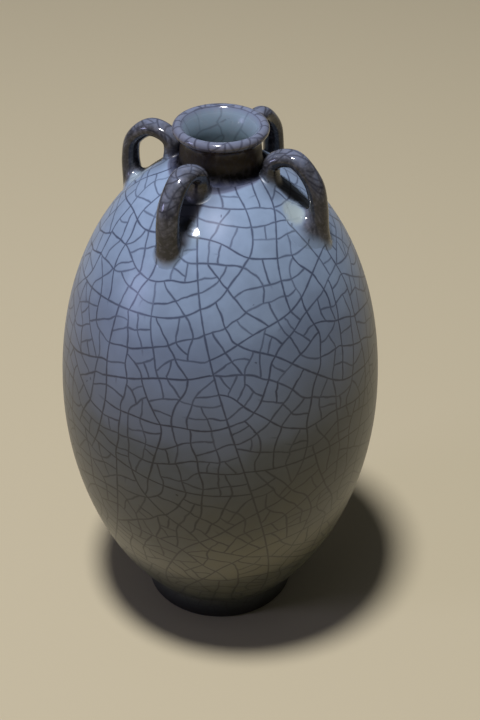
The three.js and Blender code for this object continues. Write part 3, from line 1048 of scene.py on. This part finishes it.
def build_lug(name, lug):
    """A lug: the roll between its two sweeps, closed under the skin, with its own net of cracks."""
    line, roll = roll_skin(lug)
    lift = lift_above(roll)
    turn = np.linspace(0, FULL_TURN, LUG_COLUMNS, endpoint=False)
    web_turn, web_reach, web_fill = lug["web"]
    web = np.clip(np.cos(turn - math.radians(web_turn)), 0, 1) ** WEB_NARROWNESS
    start = crossings(lift, SWEEP_LIFT + WEB_LIFT * web)[0]
    end = crossings(lift, SWEEP_LIFT)[1]
    at = start + (end - start) * np.linspace(0, 1, ROLL_ROWS)[:, None]
    outer, outer_cap = sweep(roll, line, start, -1, web, web_reach, web_fill)
    inner, inner_cap = sweep(roll, line, end, 1, 0 * web)
    skin_rows = np.concatenate([outer[::-1], read_rows(roll, at), inner])
    grid = np.concatenate([outer_cap[None], skin_rows, inner_cap[None]])
    rows = len(grid)
    net_height = float(np.linalg.norm(np.diff(skin_rows, axis=0), axis=2).mean(1).sum() / ROLL_RADIUS)

    def on_lug(points):
        """A point (angle, height of the sheet) on the lug: read off the grid by row and column."""
        row = np.clip(points[:, 1] / net_height * (len(skin_rows) - 1), 0, len(skin_rows) - 1.001)
        column = (points[:, 0] / FULL_TURN * LUG_COLUMNS) % LUG_COLUMNS
        low, left = np.floor(row).astype(int), np.floor(column).astype(int)
        up, right = (row - low)[:, None], (column - left)[:, None]
        left, next_left = left % LUG_COLUMNS, (left + 1) % LUG_COLUMNS
        below = skin_rows[low, left] * (1 - right) + skin_rows[low, next_left] * right
        above = skin_rows[low + 1, left] * (1 - right) + skin_rows[low + 1, next_left] * right
        return below * (1 - up) + above * up

    cracks = grow_net(
        FULL_TURN, net_height, lambda height: ROLL_RADIUS, lambda height: LUG_CELLS, lug["seed"]
    )
    own = crack_values(grid, laid_on(cracks, on_lug), range(1, rows - 2))
    root_rows = [*range(1, SWEEP_ROWS + 2), *range(rows - SWEEP_ROWS - 3, rows - 2)]
    jars = crack_values(grid, jar_net, root_rows)
    lifted = np.maximum(lift_above(grid), 0)
    low = (lifted[:-1] < OWN_CRACKS_ABOVE)[..., None, None]
    mixed = {key: np.where(low, jars[key], own[key]) for key in own}
    skin_place = nearest_skin(grid)[0]
    skin_radius = np.hypot(skin_place[..., 0], skin_place[..., 1])
    upper = body_outside[:, 1] > BELLY[1]
    along = np.interp(-skin_radius, -body_outside[upper, 0], distances(body_outside)[upper])
    marks = pools_and_painted_shade(grid)
    thick_root = lug["thick_root"] * smooth(skin_radius, *THICK_ROOT_WITHIN)
    thick_root = thick_root * smooth(grid[..., 2], *THICK_ROOT_BELOW)
    thin_above = lifted * (1 - thick_root) * (1 - POOL_COVER * marks["pool"])
    return make_piece(
        name,
        grid,
        poles=(outer_cap.mean(0), inner_cap.mean(0)),
        corner_values=mixed,
        point_values={"lift": thin_above, "along": along, **marks},
    )


lugs = {name: build_lug(name.replace("lug", "loop"), lug) for name, lug in LUGS.items()}

# %% [markdown]
# ## Which piece stands for which solid
# Every new piece replaces its plain CAD solid, rides with the jar's one body, and is listed beside one of
# the record's material slots.

# %% Riding, replacing and slots
stands_for = {
    "body": (body, "crackle_glaze"),
    "neck_collar": (neck, "thin_glaze"),
    "foot_ring": (foot, "foot_glaze"),
}
stands_for.update({name: (piece, "thin_glaze") for name, piece in lugs.items()})
for node, (piece, slot) in stands_for.items():
    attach(piece, "root")
    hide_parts(node)
    print(piece.name, "stands for", node)

# %% [markdown]
# ## Finishes
# The three finishes are one glaze on one clay, thick, thin and wiped. A glaze is glass, so its index of
# refraction is about 1.5 and it isn't metallic. This one is satin: tiny crystals in it soften what it
# mirrors. Colours are written as they would be picked from a swatch and turned to linear light by one
# function.

# %% Colour and node helpers
SMOOTH = {"interpolation_type": "SMOOTHSTEP"}
COLOURS = {"data_type": "RGBA"}
TINTING = {"data_type": "RGBA", "blend_type": "MULTIPLY"}
PLUS, MINUS, TIMES, OVER, MOST, LESS, MORE, SIZE = (
    {"operation": word}
    for word in ("ADD", "SUBTRACT", "MULTIPLY", "DIVIDE", "MAXIMUM", "LESS_THAN", "GREATER_THAN", "ABSOLUTE")
)
NOISE_RANGE = (0.3, 0.7)  # a noise texture is mostly within it


def linear(hex_value):
    """An sRGB hex colour as linear red, green, blue: the sRGB curve undone for each channel."""
    channels = [(hex_value >> shift & 255) / 255 for shift in (16, 8, 0)]
    return tuple(c / 12.92 if c <= 0.04045 else ((c + 0.055) / 1.055) ** 2.4 for c in channels) + (1.0,)


def fill(tree, node, inputs):
    """Fills a node's inputs, in order or by key: an output is linked, and a value is set on the socket."""
    for key, value in inputs.items() if isinstance(inputs, dict) else enumerate(inputs):
        if isinstance(value, bpy.types.NodeSocket):
            tree.links.new(value, node.inputs[key])
        else:
            node.inputs[key].default_value = value


def add(tree, kind, settings, inputs=(), stops=(), between="EASE"):
    """Adds a node with its settings, its inputs and a colour ramp's stops, and returns its outputs."""
    made = tree.nodes.new("ShaderNode" + kind)
    for key, value in settings.items():
        setattr(made, key, value)
    fill(tree, made, inputs)
    if stops:
        ramp = made.color_ramp
        ramp.interpolation = between
        while len(ramp.elements) < len(stops):
            ramp.elements.new(0.5)
        for element, (place, colour) in zip(ramp.elements, stops):
            element.position = place
            element.color = linear(colour)
    return made.outputs


def new_material(name):
    """A material with an empty tree but for its shader and its output, which are returned with the tree."""
    material = bpy.data.materials.new(name)
    material.use_nodes = True
    tree = material.node_tree
    tree.nodes.clear()
    surface = add(tree, "BsdfPrincipled", {})["BSDF"]
    add(tree, "OutputMaterial", {}, {"Surface": surface})
    return material, tree, surface.node


# %% [markdown]
# ## The stained cracks
# The darkness of a crack depends only on the two distances that the mesh carries. A crack is darkest at
# its middle and fades over less than half a millimetre to each side, because the stain soaks a little
# into the glaze. The second crack is hidden on the far side of the first wherever it ends there.

# %% The crack pattern as nodes
CRACK_CORE = 0.04  # mm from the middle of a crack, where it is as dark as it gets
CRACK_EDGE = 0.42  # mm, where it has faded out
UNEVEN_LENGTH = 2.222  # mm along a crack, over which its width changes
UNEVEN_WIDTH = (1.25, 0.8)


def crack_darkness(tree, place):
    """0 between cracks and up to 1 on them, from the distances kept in the mesh."""
    noise = add(tree, "TexNoise", {}, {"Vector": place, "Scale": 1 / (UNEVEN_LENGTH * MM), "Detail": 2.0})[0]
    stretch = add(tree, "MapRange", SMOOTH, (noise, *NOISE_RANGE, *UNEVEN_WIDTH))[0]
    found = []
    for name in ("first_crack", "second_crack"):
        values = add(tree, "Attribute", {"attribute_name": name})["Vector"]
        side, strength, ends = add(tree, "SeparateXYZ", {}, (values,))
        distance = add(tree, "Math", TIMES, (add(tree, "Math", SIZE, (side,))[0], stretch))[0]
        faded = add(tree, "MapRange", SMOOTH, (distance, CRACK_EDGE, CRACK_CORE, 0.0, 1.0))[0]
        found.append((side, ends, add(tree, "Math", TIMES, (faded, strength))[0]))
    (side, ends, first_dark), (_, _, second_dark) = found
    far_side = add(tree, "Math", LESS, (side, 0.0))[0]
    hidden = add(tree, "Math", TIMES, (far_side, add(tree, "Math", MORE, (ends, 0.5))[0]))[0]
    seen = add(tree, "Math", TIMES, (second_dark, add(tree, "Math", MINUS, (1.0, hidden))[0]))[0]
    return add(tree, "Math", MOST, (first_dark, seen))[0]


def new_glaze(name):
    """A material with what every glaze needs: its place, its cracks and its distance up the profile."""
    material, tree, shader = new_material(name)
    place = add(tree, "TexCoord", {})["Object"]
    along = add(tree, "Attribute", {"attribute_name": "along"})["Fac"]
    return material, tree, shader, place, crack_darkness(tree, place), along


# %% [markdown]
# ## The thick crackle glaze
# On the body the glaze is thick and half opaque, a pale blue-grey on the shoulder. Its colour is painted
# darker and greener towards the foot: painted shade under the belly, warmed by painted bounce light from
# the floor. Close to the neck it thins and browns, and it is painted darker there as shade in the crease.
# Low on the body it is painted darker again as shade, below a pale edge. Faint clouds come from bubbles
# and uneven dipping, and a very low ripple from the brush and the thrower's fingers keeps the mirrored
# light from being perfectly smooth.

# %% The colour of the thick glaze
# Pale blue-grey at the top, then painted darker and greener towards the foot: painted shade with painted warm
# bounce from the floor.
UP_THE_BODY_WITH_SHADE = [
    (0.0, 0x34393B),
    (0.06, 0x52574F),
    (0.16, 0x676A61),
    (0.21, 0x6A6D65),
    (0.33, 0x535857),
    (0.45, 0x4E555A),
    (0.56, 0x646E7D),
    (0.68, 0x727F93),
    (0.82, 0x8B9CB1),
    (1.0, 0x93A5BB),
]
# Thin, browned glaze near the neck, painted darker still as shade in the crease under it.
THIN_AND_SHADED_TO_NECK = [(0.0, 0x868DA3), (0.35, 0x646A7D), (0.65, 0x484C5B), (1.0, 0x2E3140)]
CLOUD_SIZE = 26.32  # mm across, about a third of the jar's width
MOTTLE_SIZE = 3.846  # mm across, about one cell of the crackle
CLOUD_SHIFT, EDGE_SHIFT, NECK_SHIFT = 8.0, 0.6, 1.2  # mm by which the clouds move the colours up and down
SHADE_EDGE = 24.6  # mm up the profile from the foot's top, below which the glaze is painted darker as shade, leaving a pale edge
SHADE_EDGE_WIDTH, SHADE_BELOW_EDGE = 2.2, 0.85
FOOT_SHADE_HEIGHT, FOOT_SHADE = 6.0, 0.5
MOTTLE_RANGE, MOTTLE = (0.35, 0.65), 0.14
THINS_FROM, THINS_TO = body_length - 1.8, body_length + 1.2
THIN_AND_SHADED_BY = 0.3  # the share of that stretch in which the neck's colours take over
STRIP_SHADE_COVER, POOL_PALENESS = 0.88, 0.9


def thick_glaze_colour(tree, along, place):
    """The thick glaze between its cracks, by the distance along the profile from the foot."""
    clouds = add(tree, "TexNoise", {}, {"Vector": place, "Scale": 1 / (CLOUD_SIZE * MM), "Detail": 3.0})[0]
    climb, edge, near_neck = (
        add(tree, "Math", PLUS, (along, add(tree, "MapRange", SMOOTH, (clouds, *NOISE_RANGE, -by, by))[0]))[0]
        for by in (CLOUD_SHIFT, EDGE_SHIFT, NECK_SHIFT)
    )
    climb = add(tree, "Math", OVER, (climb, body_length))[0]
    # The ramp's darkening towards the foot is painted shade.
    base = add(tree, "ValToRGB", {}, (climb,), UP_THE_BODY_WITH_SHADE)[0]
    # Below the pale edge the glaze is painted darker: painted shade under the lower curve.
    rising = (edge, SHADE_EDGE, SHADE_EDGE - SHADE_EDGE_WIDTH, 0.0, SHADE_BELOW_EDGE)
    shaded_below = add(tree, "MapRange", SMOOTH, rising)[0]
    base = add(tree, "Mix", TINTING, {0: shaded_below, 6: base, 7: linear(0xC2C7CB)})[2]
    shade = add(tree, "MapRange", SMOOTH, (along, FOOT_SHADE_HEIGHT, 0.0, 0.0, FOOT_SHADE))[0]
    base = add(tree, "Mix", COLOURS, {0: shade, 6: base, 7: linear(0x23282B)})[2]
    fine = add(tree, "TexNoise", {}, {"Vector": place, "Scale": 1 / (MOTTLE_SIZE * MM), "Detail": 4.0})[0]
    mottle = add(tree, "MapRange", SMOOTH, (fine, *MOTTLE_RANGE, 0.0, MOTTLE))[0]
    base = add(tree, "Mix", COLOURS, {0: mottle, 6: base, 7: linear(0x5F6A78)})[2]
    # Near the neck the glaze is thinner and browner, and painted darker as shade in the crease under the
    # neck.
    thin = add(tree, "MapRange", SMOOTH, (near_neck, THINS_FROM, THINS_TO, 0.0, 1.0))[0]
    thin_and_shaded = add(tree, "ValToRGB", {}, (thin,), THIN_AND_SHADED_TO_NECK)[0]
    thin_and_shaded_share = add(tree, "MapRange", SMOOTH, (thin, 0.0, THIN_AND_SHADED_BY, 0.0, 1.0))[0]
    base = add(tree, "Mix", COLOURS, {0: thin_and_shaded_share, 6: base, 7: thin_and_shaded})[2]
    # The strip under each arch and the patch about its inner root are painted dark as shade; under the arch
    # the glaze is also thin.
    shaded_strip = add(tree, "Attribute", {"attribute_name": "shaded_strip"})["Fac"]
    cover = add(tree, "Math", TIMES, (shaded_strip, STRIP_SHADE_COVER))[0]
    base = add(tree, "Mix", COLOURS, {0: cover, 6: base, 7: linear(0x2A2623)})[2]
    pool = add(tree, "Attribute", {"attribute_name": "pool"})["Fac"]
    pool = add(tree, "Math", TIMES, (pool, add(tree, "Math", MINUS, (1.0, shaded_strip))[0]))[0]
    pale = add(tree, "Math", TIMES, (pool, POOL_PALENESS))[0]
    return add(tree, "Mix", COLOURS, {0: pale, 6: base, 7: linear(0xA2ADA9)})[2], pool


# %% Crackle glaze: satin feldspar glaze, dipped and fired
# Tiny crystals in this glaze scatter what it mirrors, so a glint on it is a soft patch.
GLAZE_IOR = 1.5  # glass
SATIN_ROUGHNESS = 0.34
CRACK_STAIN = linear(0x6C6A7C)  # what the stained glaze keeps of the colour around it
STAIN_FROM, STAIN_TO = body_length * 0.3, body_length * 0.75
STAIN_LOW, STAIN_HIGH = 1.15, 0.88
POOL_HIDES = (0.2, 0.8)  # how deep a pool starts to hide its cracks, and how deep it has hidden them
BODY_CRACKS = (1.0, 0.18)  # how dark the cracks are outside the pools and in them
RIPPLE_SIZE, RIPPLE_HEIGHT = 11.11, 0.25  # mm; a little under a finger's width
RIPPLE_STRENGTH = 0.25

glaze, tree, shader, place, dark, along = new_glaze("crackle_glaze_satin")
base, pool = thick_glaze_colour(tree, along, place)
stain = add(tree, "MapRange", SMOOTH, (along, STAIN_FROM, STAIN_TO, STAIN_LOW, STAIN_HIGH))[0]
open_glaze = add(tree, "MapRange", SMOOTH, (pool, *POOL_HIDES, *BODY_CRACKS))[0]
held = add(tree, "Math", TIMES, (dark, add(tree, "Math", TIMES, (stain, open_glaze))[0]))[0]
ripple = add(tree, "TexNoise", {}, {"Vector": place, "Scale": 1 / (RIPPLE_SIZE * MM), "Detail": 2.0})[0]
raised = {"Height": ripple, "Strength": RIPPLE_STRENGTH, "Distance": RIPPLE_HEIGHT * MM}
bump = add(tree, "Bump", {}, raised)["Normal"]
colour = add(tree, "Mix", TINTING, {0: held, 6: base, 7: CRACK_STAIN})[2]
fill(tree, shader, {"Base Color": colour, "Normal": bump, "Roughness": SATIN_ROUGHNESS, "IOR": GLAZE_IOR})
body.data.materials.append(glaze)
print("the body's glaze:", len(tree.nodes), "nodes")

# %% [markdown]
# ## The thin glaze
# On the lugs and the neck the same glaze is thin, so the iron-dark clay makes it brown-grey. On the lugs it
# is painted lighter and more mauve where a face looks up, partly a mauve cast and partly painted light, and
# darker where it looks down as painted shade. It is glossier here. At a lug's roots it thickens again and
# takes the body's colour, and in the pools it is a clear pale green.

# %% Thin glaze on the lugs
# Where this glaze is thin it melts to a smooth clear glass, so its glints are small and sharp.
# Painted light and shade: lighter and more mauve where a face looks up, darker where it looks down.
LIT_AND_SHADED_BY_FACING = [(0.0, 0x2B2A2A), (0.35, 0x454548), (0.7, 0x5C5F69), (1.0, 0x6F7585)]
PATCH_SIZE = 4.762  # mm across, about as wide as a lug's roll
PATCH_SHIFT = 0.3
FACING = (-0.3, 1.15)  # how far up a face looks, where the painted light and shade by facing start and end
LUG_SPECKLE_SIZE = 1.111  # mm; specks of iron are about 0.3 mm, too fine to show, so they are drawn coarser
SPECKLE_RANGE, LUG_SPECKLE = (0.42, 0.7), 0.3
THICK_UNDER = (1.3, 0.1)  # mm above the skin, where the body's colour starts and where it is whole
FEW_CRACKS_ABOVE, FEW_CRACKS_UNDER = (0.45, 0.6), (3.2, 1.4)  # mm above the skin
CRACKS_LOST = 0.7  # the share of their darkness that the cracks lose there
LUG_CRACKS = (0.7, 0.1)  # how dark the cracks are outside the pools and in them
NEAR_NECK = (body_length - 7.0, body_length - 4.0)  # mm up the body's profile
SATIN_BELOW = (139.5 * MM, 138 * MM)  # the height in metres, as Object coordinates give it
SATIN_UNDER = (2.5, 0.8)  # mm above the skin
GLOSSY, SATIN = 0.1, 0.4

lug_glaze, tree, shader, place, dark, along = new_glaze("thin_glaze_over_dark_clay")
lift = add(tree, "Attribute", {"attribute_name": "lift"})["Fac"]
up = add(tree, "SeparateXYZ", {}, (add(tree, "NewGeometry", {})["Normal"],))[2]
patches = add(tree, "TexNoise", {}, {"Vector": place, "Scale": 1 / (PATCH_SIZE * MM), "Detail": 2.0})[0]
patches = add(tree, "MapRange", SMOOTH, (patches, *NOISE_RANGE, -PATCH_SHIFT, PATCH_SHIFT))[0]
# Each face's colour follows how far up it looks: painted light and shade.
light_and_shade_by_facing = add(tree, "Math", PLUS, (up, patches))[0]
light_and_shade_by_facing = add(tree, "MapRange", SMOOTH, (light_and_shade_by_facing, *FACING, 0.0, 1.0))[0]
base = add(tree, "ValToRGB", {}, (light_and_shade_by_facing,), LIT_AND_SHADED_BY_FACING)[0]
speckle = add(tree, "TexNoise", {}, {"Vector": place, "Scale": 1 / (LUG_SPECKLE_SIZE * MM), "Detail": 4.0})[0]
speckle = add(tree, "MapRange", SMOOTH, (speckle, *SPECKLE_RANGE, 0.0, LUG_SPECKLE))[0]
base = add(tree, "Mix", COLOURS, {0: speckle, 6: base, 7: linear(0x8A8890)})[2]
thick, pool = thick_glaze_colour(tree, along, place)
thickness = add(tree, "MapRange", SMOOTH, (lift, *THICK_UNDER, 0.0, 1.0))[0]
base = add(tree, "Mix", COLOURS, {0: thickness, 6: base, 7: thick})[2]
above_skin = add(tree, "MapRange", SMOOTH, (lift, *FEW_CRACKS_ABOVE, 0.0, 1.0))[0]
at_root = add(tree, "MapRange", SMOOTH, (lift, *FEW_CRACKS_UNDER, 0.0, CRACKS_LOST))[0]
at_root = add(tree, "Math", TIMES, (above_skin, at_root))[0]
held = add(tree, "Math", TIMES, (dark, add(tree, "Math", MINUS, (1.0, at_root))[0]))[0]
open_glaze = add(tree, "MapRange", SMOOTH, (pool, *POOL_HIDES, *LUG_CRACKS))[0]
held = add(tree, "Math", TIMES, (held, open_glaze))[0]
colour = add(tree, "Mix", COLOURS, {0: held, 6: base, 7: linear(0x2A2930)})[2]
near_neck = add(tree, "MapRange", SMOOTH, (along, *NEAR_NECK, 0.0, 1.0))[0]
height = add(tree, "SeparateXYZ", {}, (place,))[2]
below = add(tree, "MapRange", SMOOTH, (height, *SATIN_BELOW, 0.0, 1.0))[0]
low = add(tree, "MapRange", SMOOTH, (lift, *SATIN_UNDER, 0.0, 1.0))[0]
satin = add(tree, "Math", TIMES, (add(tree, "Math", TIMES, (near_neck, below))[0], low))[0]
rough = add(tree, "MapRange", SMOOTH, (satin, 0.0, 1.0, GLOSSY, SATIN))[0]
fill(tree, shader, {"Base Color": colour, "Roughness": rough, "IOR": GLAZE_IOR})
for piece in lugs.values():
    piece.data.materials.append(lug_glaze)
print("the lugs' glaze:", len(tree.nodes), "nodes")

# %% Thin glaze on the neck, from its seat up over the lip and down the mouth
# At the waist the glaze is thin and the dark clay shows; just above the seat it is painted darker still as
# shade in the crease. On the lip it is thicker, which makes it pale.
inside = neck_length + lip_length
# The darkest stops, just above the seat, are partly painted shade in the crease.
UP_THE_NECK = [
    (0.0, 0x464A59),
    (0.9 / mouth_length, 0x2B2D39),
    (1.8 / mouth_length, 0x1C1C1F),
    (3.2 / mouth_length, 0x1C1A18),
    (4.7 / mouth_length, 0x393127),
    (neck_length / mouth_length - 0.03, 0x332B25),
    (neck_length / mouth_length + 0.06, 0x6C6E7C),
    (inside / mouth_length, 0x7A8294),
    (inside / mouth_length + 0.05, 0x8494A0),
    (0.8, 0x7E9099),
    (1.0, 0x6A7A7A),
]
RIM_SPECK_SIZE = 1.4286  # mm, coarser than real for the same reason
DARK_BELOW = (neck_length * 0.6, neck_length)
DULL_BELOW = (neck_length * 0.75, neck_length)
DULL_SEAT = (2.0, 5.5)  # mm up from the seat, in the lugs' shade
MOUTH_EDGE = (inside - 0.5, inside + 1.5)
WAIST_LIGHTNESS, WAIST_ROUGHNESS = 0.5, 0.5
NECK_SPECKLE, NECK_CRACKS = 0.2, 0.75
MOUTH_EXTRA_ROUGHNESS = 0.18
MIRRORING = (0.22, 0.5)  # at the waist, where drained glaze mirrors little, and on the lip

neck_glaze, tree, shader, place, dark, along = new_glaze("thin_glaze_on_the_neck")
share = add(tree, "Math", OVER, (along, mouth_length))[0]
base = add(tree, "ValToRGB", {}, (share,), UP_THE_NECK, between="LINEAR")[0]
lightness = add(tree, "MapRange", SMOOTH, (along, *DARK_BELOW, WAIST_LIGHTNESS, 1.0))[0]
speckle = add(tree, "TexNoise", {}, {"Vector": place, "Scale": 1 / (RIM_SPECK_SIZE * MM), "Detail": 4.0})[0]
speckle = add(tree, "MapRange", SMOOTH, (speckle, *SPECKLE_RANGE, 0.0, NECK_SPECKLE))[0]
speckle = add(tree, "Math", TIMES, (speckle, lightness))[0]
base = add(tree, "Mix", COLOURS, {0: speckle, 6: base, 7: linear(0x8D8A92)})[2]
held = add(tree, "Math", TIMES, (dark, add(tree, "Math", TIMES, (lightness, NECK_CRACKS))[0]))[0]
colour = add(tree, "Mix", COLOURS, {0: held, 6: base, 7: linear(0x34333F)})[2]
rough = add(tree, "MapRange", SMOOTH, (along, *DARK_BELOW, WAIST_ROUGHNESS, GLOSSY))[0]
rougher = add(tree, "MapRange", SMOOTH, (along, *MOUTH_EDGE, 0.0, MOUTH_EXTRA_ROUGHNESS))[0]
rough = add(tree, "Math", PLUS, (rough, rougher))[0]
mirroring = add(tree, "MapRange", SMOOTH, (along, *DULL_BELOW, *MIRRORING))[0]
out_of_shade = add(tree, "MapRange", SMOOTH, (along, *DULL_SEAT, 0.0, 1.0))[0]
mirroring = add(tree, "Math", TIMES, (mirroring, out_of_shade))[0]
looks = {"Base Color": colour, "Roughness": rough, "Specular IOR Level": mirroring, "IOR": GLAZE_IOR}
fill(tree, shader, looks)
neck.data.materials.append(neck_glaze)
print("the neck's glaze:", len(tree.nodes), "nodes")

# %% [markdown]
# ## The foot
# The glaze gathers above the foot in a dark bluish roll and the ring under it was wiped, so its resting
# face is bare clay that fired to a dark brown. All of it is also painted darker as shade under the belly.

# %% Foot glaze and bare clay
# Wiped glaze on dark clay has a dull sheen and hardly any colour.
# Dark bluish glaze and brown clay, painted darker still as shade under the belly.
UP_THE_FOOT_WITH_SHADE = [(0.0, 0x1A1512), (0.16, 0x1E1916), (0.3, 0x212427), (0.65, 0x343A3E), (1.0, 0x454B4C)]
FOOT_CRACKS, FOOT_ROUGHNESS = 0.7, 0.35

foot_glaze, tree, shader, place, dark, along = new_glaze("foot_glaze_and_bare_clay")
share = add(tree, "Math", OVER, (along, foot_length))[0]
base = add(tree, "ValToRGB", {}, (share,), UP_THE_FOOT_WITH_SHADE)[0]
held = add(tree, "Math", TIMES, (dark, FOOT_CRACKS))[0]
colour = add(tree, "Mix", COLOURS, {0: held, 6: base, 7: linear(0x22242A)})[2]
fill(tree, shader, {"Base Color": colour, "Roughness": FOOT_ROUGHNESS, "IOR": GLAZE_IOR})
foot.data.materials.append(foot_glaze)
print("the foot's glaze:", len(tree.nodes), "nodes")

# %% [markdown]
# ## Floor, light and camera
# The floor gives the jar a warm tan light from below, which also shows as pale edges in its glaze, but it
# looks paler than that to the camera: a Light Path node tells the two kinds of ray apart. One lamp almost
# straight overhead lights the shoulder and leaves the lower half in shade. A wide, faint one high on the
# camera's side makes the soft glint on the glaze, and a low lilac one on the left is daylight. The camera
# looks down at 35 degrees from about half a metre, as the photograph was taken.

# %% The floor
# Matt paint has no glints, so the floor stays plain.
FLOOR_SEEN = linear(0xC8BA98)
FLOOR_BOUNCE = linear(0xB09862)
bpy.ops.mesh.primitive_plane_add(size=6.0, location=(0, 0, 0))
floor = bpy.context.object
floor.name = "floor"
floor_paint, tree, shader = new_material("pale_floor_paint")
ray = add(tree, "LightPath", {})
mirrored = add(tree, "Math", MOST, (ray["Is Glossy Ray"], ray["Is Transmission Ray"]))[0]
seen = add(tree, "Math", MOST, (ray["Is Camera Ray"], mirrored))[0]
colour = add(tree, "Mix", COLOURS, {0: seen, 6: FLOOR_BOUNCE, 7: FLOOR_SEEN})[2]
fill(tree, shader, {"Base Color": colour, "Roughness": 0.8})
floor.data.materials.append(floor_paint)
print("floor:", len(tree.nodes), "nodes")

# %% Light
CAMERA_TURN = 27.1  # degrees about the axis, from the front
LAMPS_AIM = np.array([0, 0, 0.1])


def direction(turn, height):
    """The direction at an angle about the axis from the front, and an angle up from the floor."""
    turn, height = math.radians(turn), math.radians(height)
    level = math.cos(height)
    return np.array([level * math.sin(turn), -level * math.cos(turn), math.sin(height)])


def lamp(name, turn, height, distance, size, power, colour, width=1.0):
    """A lamp aimed at the jar, at an angle from the camera's side, a height angle and a distance."""
    data = bpy.data.lights.new(name, "AREA")
    data.shape = "ELLIPSE"
    data.size = size * width
    data.size_y = size
    data.energy = power
    data.color = linear(colour)[:3]
    made = bpy.data.objects.new(name, data)
    towards_lamp = direction(turn + CAMERA_TURN, height)
    made.location = LAMPS_AIM + towards_lamp * distance
    made.rotation_euler = Vector(-towards_lamp).to_track_quat("-Z", "Y").to_euler()
    bpy.context.scene.collection.objects.link(made)
    print(f"lamp {name}: {power} W from {distance} m")
    return made


lamp("overhead", -42, 79, 1.2, 0.2, 17.0, 0xF0F3FF).visible_glossy = False
lamp("glint", -12, 68, 1.3, 0.1, 3.8, 0xECE8FF, width=3.5).visible_diffuse = False
lamp("daylight", -72, 14, 1.2, 0.32, 2.4, 0xC9CBFF)

# The glints on the glossy lugs and lip are far brighter than the satin body shows, so they have a lamp of
# their own, which lights nothing else.
spark = lamp("spark", -14, 67, 1.3, 0.1, 26.0, 0xFFFFFF, width=1.8)
spark.visible_diffuse = False
glossy_pieces = bpy.data.collections.new("glossy_pieces")
for piece in [neck] + list(lugs.values()):
    glossy_pieces.objects.link(piece)
spark.light_linking.receiver_collection = glossy_pieces

world = bpy.data.worlds.new("studio")
world.use_nodes = True
bpy.context.scene.world = world
background = world.node_tree.nodes["Background"]
background.inputs["Color"].default_value = linear(0xD8DCE4)
background.inputs["Strength"].default_value = 0.075
bpy.context.scene.view_settings.view_transform = "Standard"

# %% Camera
CAMERA_DOWN, CAMERA_ROLL = 35.1405, 0.6175  # degrees
CAMERA_PLACE = (0.15939, -0.29979, 0.31567)  # m, worked out from the photograph
LENS, SENSOR = 76.25, 36.0  # mm
camera_data = bpy.data.cameras.new("photograph")
camera_data.sensor_width = SENSOR
camera_data.lens = LENS
camera_data.clip_start = 0.01
camera = bpy.data.objects.new("photograph", camera_data)
camera.location = CAMERA_PLACE
camera.rotation_mode = "QUATERNION"
turned_round = Matrix.Rotation(math.radians(CAMERA_TURN), 3, "Z")
tipped = Matrix.Rotation(math.radians(90 - CAMERA_DOWN), 3, "X")
rolled = Matrix.Rotation(math.radians(CAMERA_ROLL), 3, "Z")
camera.rotation_quaternion = (turned_round @ tipped @ rolled).to_quaternion()
bpy.context.scene.collection.objects.link(camera)
bpy.context.scene.camera = camera
print("camera:", round(camera.location.length, 3), "m from the foot")

# %% The end
print("the scene is built")
